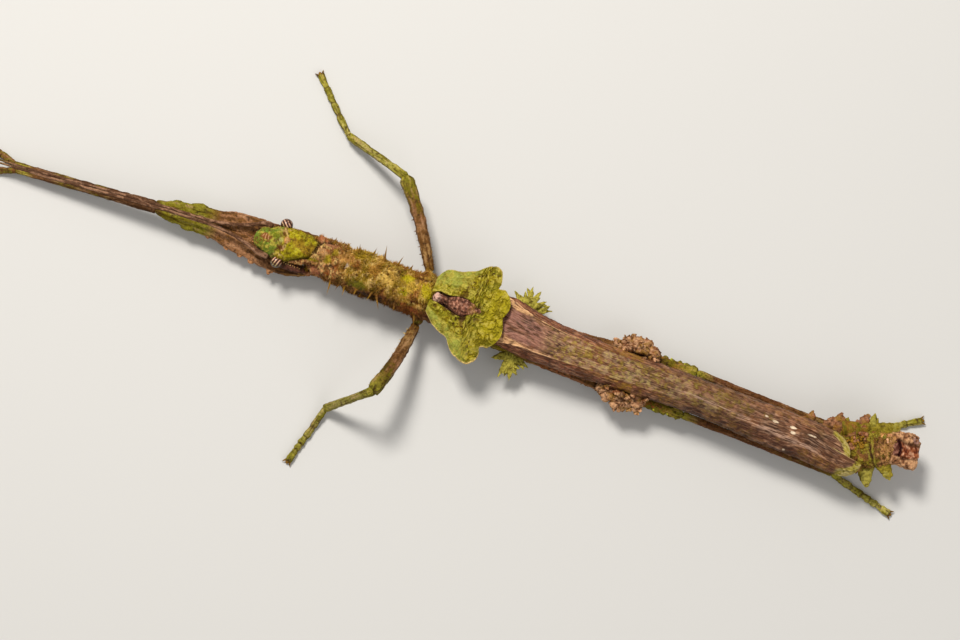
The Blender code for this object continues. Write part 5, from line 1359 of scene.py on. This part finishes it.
# Flaps of the abdomen's end as (root, tip, half width, flatness, dark, light, whether smooth)
END_BROWN = linear(158, 110, 78)
END_GREEN = linear(140, 124, 38)
END_LEAF = linear(156, 144, 62)
END_LOBES = [
    ((47.0, 2.0, 3.4), (47.3, 3.90, 3.8), 0.75, 0.6, LEG_DARK, END_BROWN, 0),
    ((49.4, 1.8, 3.6), (49.7, 4.00, 3.9), 1.00, 0.55, LEG_DARK, END_BROWN, 0),
    ((50.4, 2.0, 3.6), (50.5, 5.00, 4.0), 0.95, 0.55, LEG_DARK, END_BROWN, 0),
    ((51.2, 2.4, 3.8), (51.3, 4.60, 4.0), 0.50, 0.6, MOSS, END_GREEN, 1),
    ((52.3, 2.4, 4.3), (52.6, 4.60, 4.5), 0.90, 0.6, LEG_DARK, END_BROWN, 0),
    ((53.2, 2.8, 4.4), (53.2, 5.75, 4.6), 0.85, 0.55, LEG_DARK, END_BROWN, 0),
    ((54.1, 3.0, 4.5), (54.0, 6.00, 4.7), 0.60, 0.5, MOSS * 0.9, END_LEAF, 1),
    ((54.6, 2.8, 4.5), (54.5, 5.50, 4.5), 0.55, 0.5, MOSS * 0.9, END_GREEN, 1),
    ((51.0, 3.0, 4.2), (55.8, 4.50, 4.5), 0.95, 0.7, MOSS * 0.8, END_GREEN * 0.8, 0),
    ((54.2, 3.6, 4.5), (57.3, 5.55, 4.7), 0.95, 0.5, MOSS, END_GREEN, 1),
    ((55.6, 3.9, 4.5), (57.5, 5.85, 4.6), 0.70, 0.5, MOSS, END_LEAF, 1),
    ((53.9, 0.8, 4.0), (54.1, -1.55, 4.1), 0.80, 0.5, LEG_DARK, END_BROWN, 0),
    ((54.9, 0.8, 4.1), (55.8, -2.60, 4.2), 0.85, 0.40, MOSS * 0.8, END_LEAF, 1),
    ((54.5, 0.9, 4.0), (55.1, -2.10, 4.0), 0.70, 0.5, LEG_DARK, END_GREEN * 0.8, 1),
    ((55.6, 1.5, 4.2), (58.2, -0.45, 4.4), 0.95, 0.40, MOSS * 0.9, END_GREEN, 1),
    ((56.2, 0.9, 4.1), (58.2, -0.85, 4.3), 0.65, 0.5, MOSS * 0.8, END_LEAF, 1),
]
# Rough patches on the back of the abdomen's end as (root, tip, half width, warts, dark, light)
END_CRUSTS = [
    ((52.3, 1.2, 4.9), (53.7, 2.6, 5.5), 0.9, 22, UMBER * 1.5, OLIVE),
    ((53.0, 0.6, 5.0), (53.4, 3.2, 5.4), 0.8, 14, RUST * 0.7, END_BROWN),
    ((54.5, 0.6, 5.2), (54.2, 3.4, 5.6), 0.5, 20, BARK, END_GREEN),
    ((55.3, 0.8, 5.1), (55.5, 3.8, 5.4), 0.6, 22, OLIVE, linear(210, 150, 96)),
    ((55.6, 1.0, 5.0), (55.4, 3.6, 5.4), 0.8, 16, MOSS, END_LEAF),
    ((55.9, 1.2, 5.0), (56.2, 3.4, 5.2), 0.6, 10, RUST * 0.8, linear(222, 170, 130)),
    ((56.4, 1.0, 4.9), (56.3, 4.2, 5.1), 0.4, 20, BARK, linear(190, 136, 92)),
]
# The last segment as (place along its axis, middle, half width, height above, depth below)
LAST_ORIGIN = (56.6, 2.65, 4.25)
LAST_AXIS = (1.0, 0.13, 0.03)
LAST_ROWS = [
    (-0.9, 0.05, 1.50, 0.85, 0.95), (-0.2, 0.08, 1.90, 1.10, 1.15), (0.8, 0.15, 1.98, 1.20, 1.20),
    (1.8, 0.25, 2.02, 1.15, 1.15), (2.8, 0.12, 2.08, 1.05, 1.05), (3.4, 0.05, 1.95, 0.90, 0.90),
    (3.72, -0.05, 1.50, 0.62, 0.65), (3.86, -0.12, 0.90, 0.35, 0.40),
]
SLIT = [(57.62, 3.85), (57.95, 3.40), (58.12, 2.80), (58.15, 2.10)]
# Grooves between the last segment's middle plate and its side lobes
PLATE_EDGES = ([(57.80, 3.95), (58.70, 3.70), (59.50, 3.85), (60.40, 4.10)],
               [(58.25, 1.85), (59.20, 2.00), (60.10, 2.35), (60.90, 2.50)])


def build_last_segment():
    """The last segment: a rough ring round a plate, with a dark curved slit in front of it."""
    us = np.linspace(-0.9, 3.86, 96)
    rows = rows_at(LAST_ROWS, us)
    m = 110
    angle = 2 * np.pi * (np.arange(m) + 0.5) / m
    c, s = np.cos(angle), np.sin(angle)
    v = rows[:, 1:2] + rows[:, 2:3] * np.sign(c) * np.abs(c) ** 0.75
    w = np.where(s > 0, rows[:, 3:4], rows[:, 4:5]) * np.sign(s) * np.abs(s) ** 0.75
    axis = np.array(LAST_AXIS) / np.linalg.norm(LAST_AXIS)
    aside = np.array([-axis[1], axis[0], 0.0]) / np.hypot(axis[0], axis[1])
    rings = (np.array(LAST_ORIGIN) + us[:, None, None] * axis + v[..., None] * aside
             + w[..., None] * np.array([0, 0, 1.0]))
    top = ramp(w, 0.25, 0.6)
    slit = near_line(rings, SLIT)
    edges = np.minimum(near_line(rings, PLATE_EDGES[0]), near_line(rings, PLATE_EDGES[1]))
    upper = np.interp(rings[..., 0], [row[0] for row in PLATE_EDGES[0]], [row[1] for row in PLATE_EDGES[0]])
    lower = np.interp(rings[..., 0], [row[0] for row in PLATE_EDGES[1]], [row[1] for row in PLATE_EDGES[1]])
    within = ramp(upper - rings[..., 1], 0.0, 0.2) * ramp(rings[..., 1] - lower, 0.0, 0.2)
    front = np.interp(rings[..., 1], [row[1] for row in SLIT[::-1]], [row[0] for row in SLIT[::-1]])
    plate = within * ramp(rings[..., 0] - front, 0.0, 0.2)
    flesh = within * ramp(front - rings[..., 0], 0.0, 0.15) * ramp(rings[..., 0] - front, -1.1, -0.8) * top
    lumps, fine = fractal(rings, 0.7, 3, 71), fractal(rings, 0.26, 3, 72)
    near, second, label = cells(rings, 0.42, 73)
    push = 0.5 * (lumps - 0.5) + 0.30 * (fine - 0.5) + 0.18 * (0.4 - near)
    push -= 0.14 * top * flesh + 0.10 * plate
    push -= 0.40 * top * np.exp(-((slit / 0.15) ** 2)) + 0.24 * np.exp(-((edges / 0.20) ** 2)) * ramp(w, -0.3, 0.2)
    rings = rings + outwards(rings) * push[..., None]
    plain = np.ones(rings.shape)
    colour = blend(linear(154, 104, 68) * plain, linear(198, 150, 108), ramp(lumps + 0.5 * (fine - 0.5), 0.44, 0.60))
    colour = blend(colour, linear(116, 106, 24), ramp(-us[:, None] + 0 * v, -0.8, 0.4) * ramp(lumps, 0.42, 0.56) * 0.85)
    colour = blend(colour, linear(78, 42, 26), ramp(-fine, -0.43, -0.33) * 0.85)
    red = blend(linear(172, 92, 52) * plain, linear(226, 166, 130), ramp(fine, 0.50, 0.62))
    colour = blend(colour, blend(red, linear(104, 42, 24), ramp(-fine, -0.42, -0.32)), plate * 0.9)
    colour = blend(colour, blend(linear(84, 36, 30) * plain, linear(150, 98, 84), ramp(fine, 0.52, 0.64)), flesh * 0.9)
    lilac = ramp(-np.hypot((rings[..., 0] - 59.5) / 0.6, (rings[..., 1] - 4.5) / 0.5), -1.1, -0.6)
    colour = blend(colour, linear(150, 114, 106), lilac * ramp(fine, 0.40, 0.5) * top * 0.8)
    # Painted shade in the grooves round the middle plate.
    groove_shade = edges + 0.5 * (lumps - 0.5) + 0.5 * (fine - 0.5)
    colour = blend(colour, linear(80, 42, 22), ramp(-groove_shade, -0.20, -0.04) * ramp(w, -0.3, 0.2) * 0.65)
    colour = blend(colour, linear(60, 14, 12), top * ramp(-slit - 0.25 * (fine - 0.5), -0.22, -0.08))
    # Painted shade in the hollows of the relief.
    colour = colour * (0.62 + 0.38 * ramp(push, -0.2, 0.05))[..., None]
    quads, tris = tube_faces(*rings.shape[:2])
    piece = new_object("last_segment", close_rings(rings), [quads, tris], close_colours(colour))
    dress(piece, SKIN, "abdomen", "abdomen_tip")


def build_end():
    """Rough lobes and warts of the abdomen's end."""
    shape = Shape()
    for k, (root, tip, half, flat, dark, light, smooth) in enumerate(END_LOBES):
        root, tip = np.array(root), np.array(tip)
        way = tip - root
        if smooth:
            add_lobe(shape, root, tip, half, flat, dark, light, 0.50, lift=0.15, seed=k, rough=0.20)
            add_crust(shape, root, root + way * 0.6, 0.7 * half, 6, (0.08, 0.18), dark, light,
                      seed=400 + k, rise=half * flat)
        else:
            add_lobe(shape, root, root + way * 0.94, half, flat, dark, light, 0.50, lift=0.2, seed=k, rough=0.42)
            spread = np.random.default_rng(600 + k)
            for _ in range(9):
                start = root + way * spread.uniform(0.40, 0.78) + spread.uniform(-0.35, 0.35, 3) * half * (1, 0.5, 0.3)
                turned = way / np.linalg.norm(way) + spread.uniform(-0.7, 0.7, 3)
                tip = start + turned / np.linalg.norm(turned) * spread.uniform(0.28, 0.44)
                shade = spread.uniform(0.65, 1.15)
                add_lobe(shape, start, tip, spread.uniform(0.17, 0.28), 0.5, dark * shade, light * shade, 0.7,
                         seed=k, rough=0.26)
            add_crust(shape, root + way * 0.1, root + way * 0.80, 0.62 * half, 20, (0.08, 0.19), dark, light,
                      seed=400 + k, rise=half * flat * 0.8)
    for k, (root, tip, half, count, dark, light) in enumerate(END_CRUSTS):
        add_crust(shape, root, tip, half, count, (0.13, 0.30), dark, light, seed=460 + k, rise=0.15)
    dress(shape.build("abdomen_lobes"), SKIN, "abdomen")


def build_mouth():
    """Upper lip, the small feelers of the mouth, and a dark cheek with white dots behind each eye, the cheek dark
    partly by its own colour and partly as painted shade.
    """
    shape = Shape()
    for side, sign in SIDES.items():
        y = EYES[side][1] - (0.22 if side == "left" else 0.85) * sign
        root, tip = (-18.9, y, 3.50), (-14.9, y + 0.10 * sign, 3.15)
        # The cheek lobe is dark partly by its own colour and partly as painted shade below the eye.
        add_lobe(shape, root, tip, 0.62, 0.9, UMBER * 0.8, linear(96, 58, 44), 0.35, seed=31, rough=0.10)
        for k in range(8):
            place = (-17.55 + 0.28 * k, y - 0.02 * sign + 0.05 * sign * (k % 2), 3.98 - 0.035 * k)
            add_blob(shape, place, 0.06 + 0.02 * (k % 3 == 0), ROSE, CREAM, 90 + k)
    add_crust(shape, (-15.5, -0.85, 2.45), (-13.2, -0.30, 2.75), 0.55, 26, (0.16, 0.36), RUST * 0.7, PINK_BARK, seed=520, rise=0.3)
    add_crust(shape, (-15.8, -1.10, 2.4), (-14.6, -0.60, 2.9), 0.40, 9, (0.12, 0.24), MOSS * 0.8, OLIVE, seed=521, rise=0.3)
    add_crust(shape, (-15.2, 3.0, 2.5), (-13.4, 2.9, 2.8), 0.45, 16, (0.14, 0.30), RUST * 0.7, OLIVE, seed=522, rise=0.3)
    add_lobe(shape, (-20.8, 0.95, 3.2), (-22.1, 0.90, 2.9), 0.70, 0.7, MOSS, LIME * 0.8, 0.45, seed=2)
    for sign in (-1, 1):
        y = 0.92 + sign * 0.42
        add_lobe(shape, (-21.0, y, 2.9), (-22.2, y + sign * 0.25, 2.55), 0.22, 1.0, BARK, ROSE, 0.5, seed=4, rough=0.02)
        add_lobe(shape, (-20.6, y, 2.6), (-21.6, y + sign * 0.3, 2.2), 0.18, 1.0, BARK, ROSE, 0.5, seed=6, rough=0.02)
    dress(shape.build("mouth_parts"), SKIN, "head")


# The photo's camera: rolled about the body's own axis and tilted a little to the rear
ROLL = math.radians(20)
TILT = math.radians(7)
DISTANCE = 260
PIXEL = 0.12
AIM = Vector((6.5, 1.0, 0.0))
WIDTH_PIXELS = 960
SENSOR = 36


def camera_axes():
    right = Vector((math.cos(ROLL), math.sin(ROLL), 0))
    level = Vector((-math.sin(ROLL), math.cos(ROLL), 0))
    up = math.cos(TILT) * level + math.sin(TILT) * Vector((0, 0, 1))
    return right, level, up, right.cross(up)


def build_camera():
    right, level, up, back = camera_axes()
    data = bpy.data.cameras.new("photo_camera")
    data.sensor_width = SENSOR
    data.lens = SENSOR * (DISTANCE / PIXEL) / WIDTH_PIXELS
    data.clip_start = 0.01
    camera = bpy.data.objects.new("photo_camera", data)
    bpy.context.scene.collection.objects.link(camera)
    turn = Matrix((right, up, back)).transposed().to_4x4()
    camera.matrix_world = Matrix.Translation((back * DISTANCE + AIM) * MM) @ turn
    bpy.context.scene.camera = camera


def build_light(name, way, distance, size, power, colour):
    """A square soft light that looks at the insect from the direction way."""
    data = bpy.data.lights.new(name, "AREA")
    data.size = size * MM
    data.energy = power
    data.color = colour
    light = bpy.data.objects.new(name, data)
    bpy.context.scene.collection.objects.link(light)
    way = way.normalized()
    light.location = (AIM + way * distance) * MM
    light.rotation_mode = "QUATERNION"
    light.rotation_quaternion = way.to_track_quat("Z", "Y")


def build_stage():
    right, level, up, back = camera_axes()
    mesh = bpy.data.meshes.new("floor")
    far = 1.5
    mesh.from_pydata([(-far, -far, 0), (far, -far, 0), (far, far, 0), (-far, far, 0)], [], [(0, 1, 2, 3)])
    floor = bpy.data.objects.new("floor", mesh)
    bpy.context.scene.collection.objects.link(floor)
    paint = bpy.data.materials.new("floor_paint")
    paint.use_nodes = True
    paint.node_tree.nodes["Principled BSDF"].inputs["Base Color"].default_value = (0.62, 0.615, 0.60, 1)
    paint.node_tree.nodes["Principled BSDF"].inputs["Roughness"].default_value = 0.9
    mesh.materials.append(paint)
    world = bpy.data.worlds.new("room")
    world.use_nodes = True
    world.node_tree.nodes["Background"].inputs["Color"].default_value = (1.0, 0.98, 0.95, 1)
    world.node_tree.nodes["Background"].inputs["Strength"].default_value = 0.34
    bpy.context.scene.world = world
    high = Vector((0, 0, 1))
    build_light("key", level * 0.62 + high - right * 0.25, 420, 110, 1.80, (1.0, 0.96, 0.90))
    build_light("fill", high * 0.8 - level * 0.8 + right * 0.5, 500, 400, 0.60, (1.0, 0.98, 0.96))


bpy.context.scene.view_settings.view_transform = "Standard"
SKIN = material("mossy_skin", 0.62, 0.20, 0.07, contrast=0.38, specular=0.10)
COAT_LOOK = material("moss_tufts", 0.75, 0.30, 0.02, contrast=0.25, specular=0.08)
WING = material("folded_wing", 0.52, 0.10, 0.03, contrast=0.28, specular=0.18, stretch=(0.20, 1.0, 1.0))
LEAFY = material("leafy_wing", 0.60, 0.20, 0.05, contrast=0.28, specular=0.10)
EYE = material("striped_eye", 0.30, 0.30, 0.004, coat=0.25, contrast=0.12, specular=0.25)

SKIN_RINGS, SKIN_NORMALS, SKIN_COLOURS = build_body()
build_coat(SKIN_RINGS, SKIN_NORMALS, SKIN_COLOURS)
build_thorns()
build_eyes()
build_antennae()
build_mouth()
build_hindwings()
build_mound()
build_tegmina()
build_legs()
build_end()
build_last_segment()
build_camera()
build_stage()
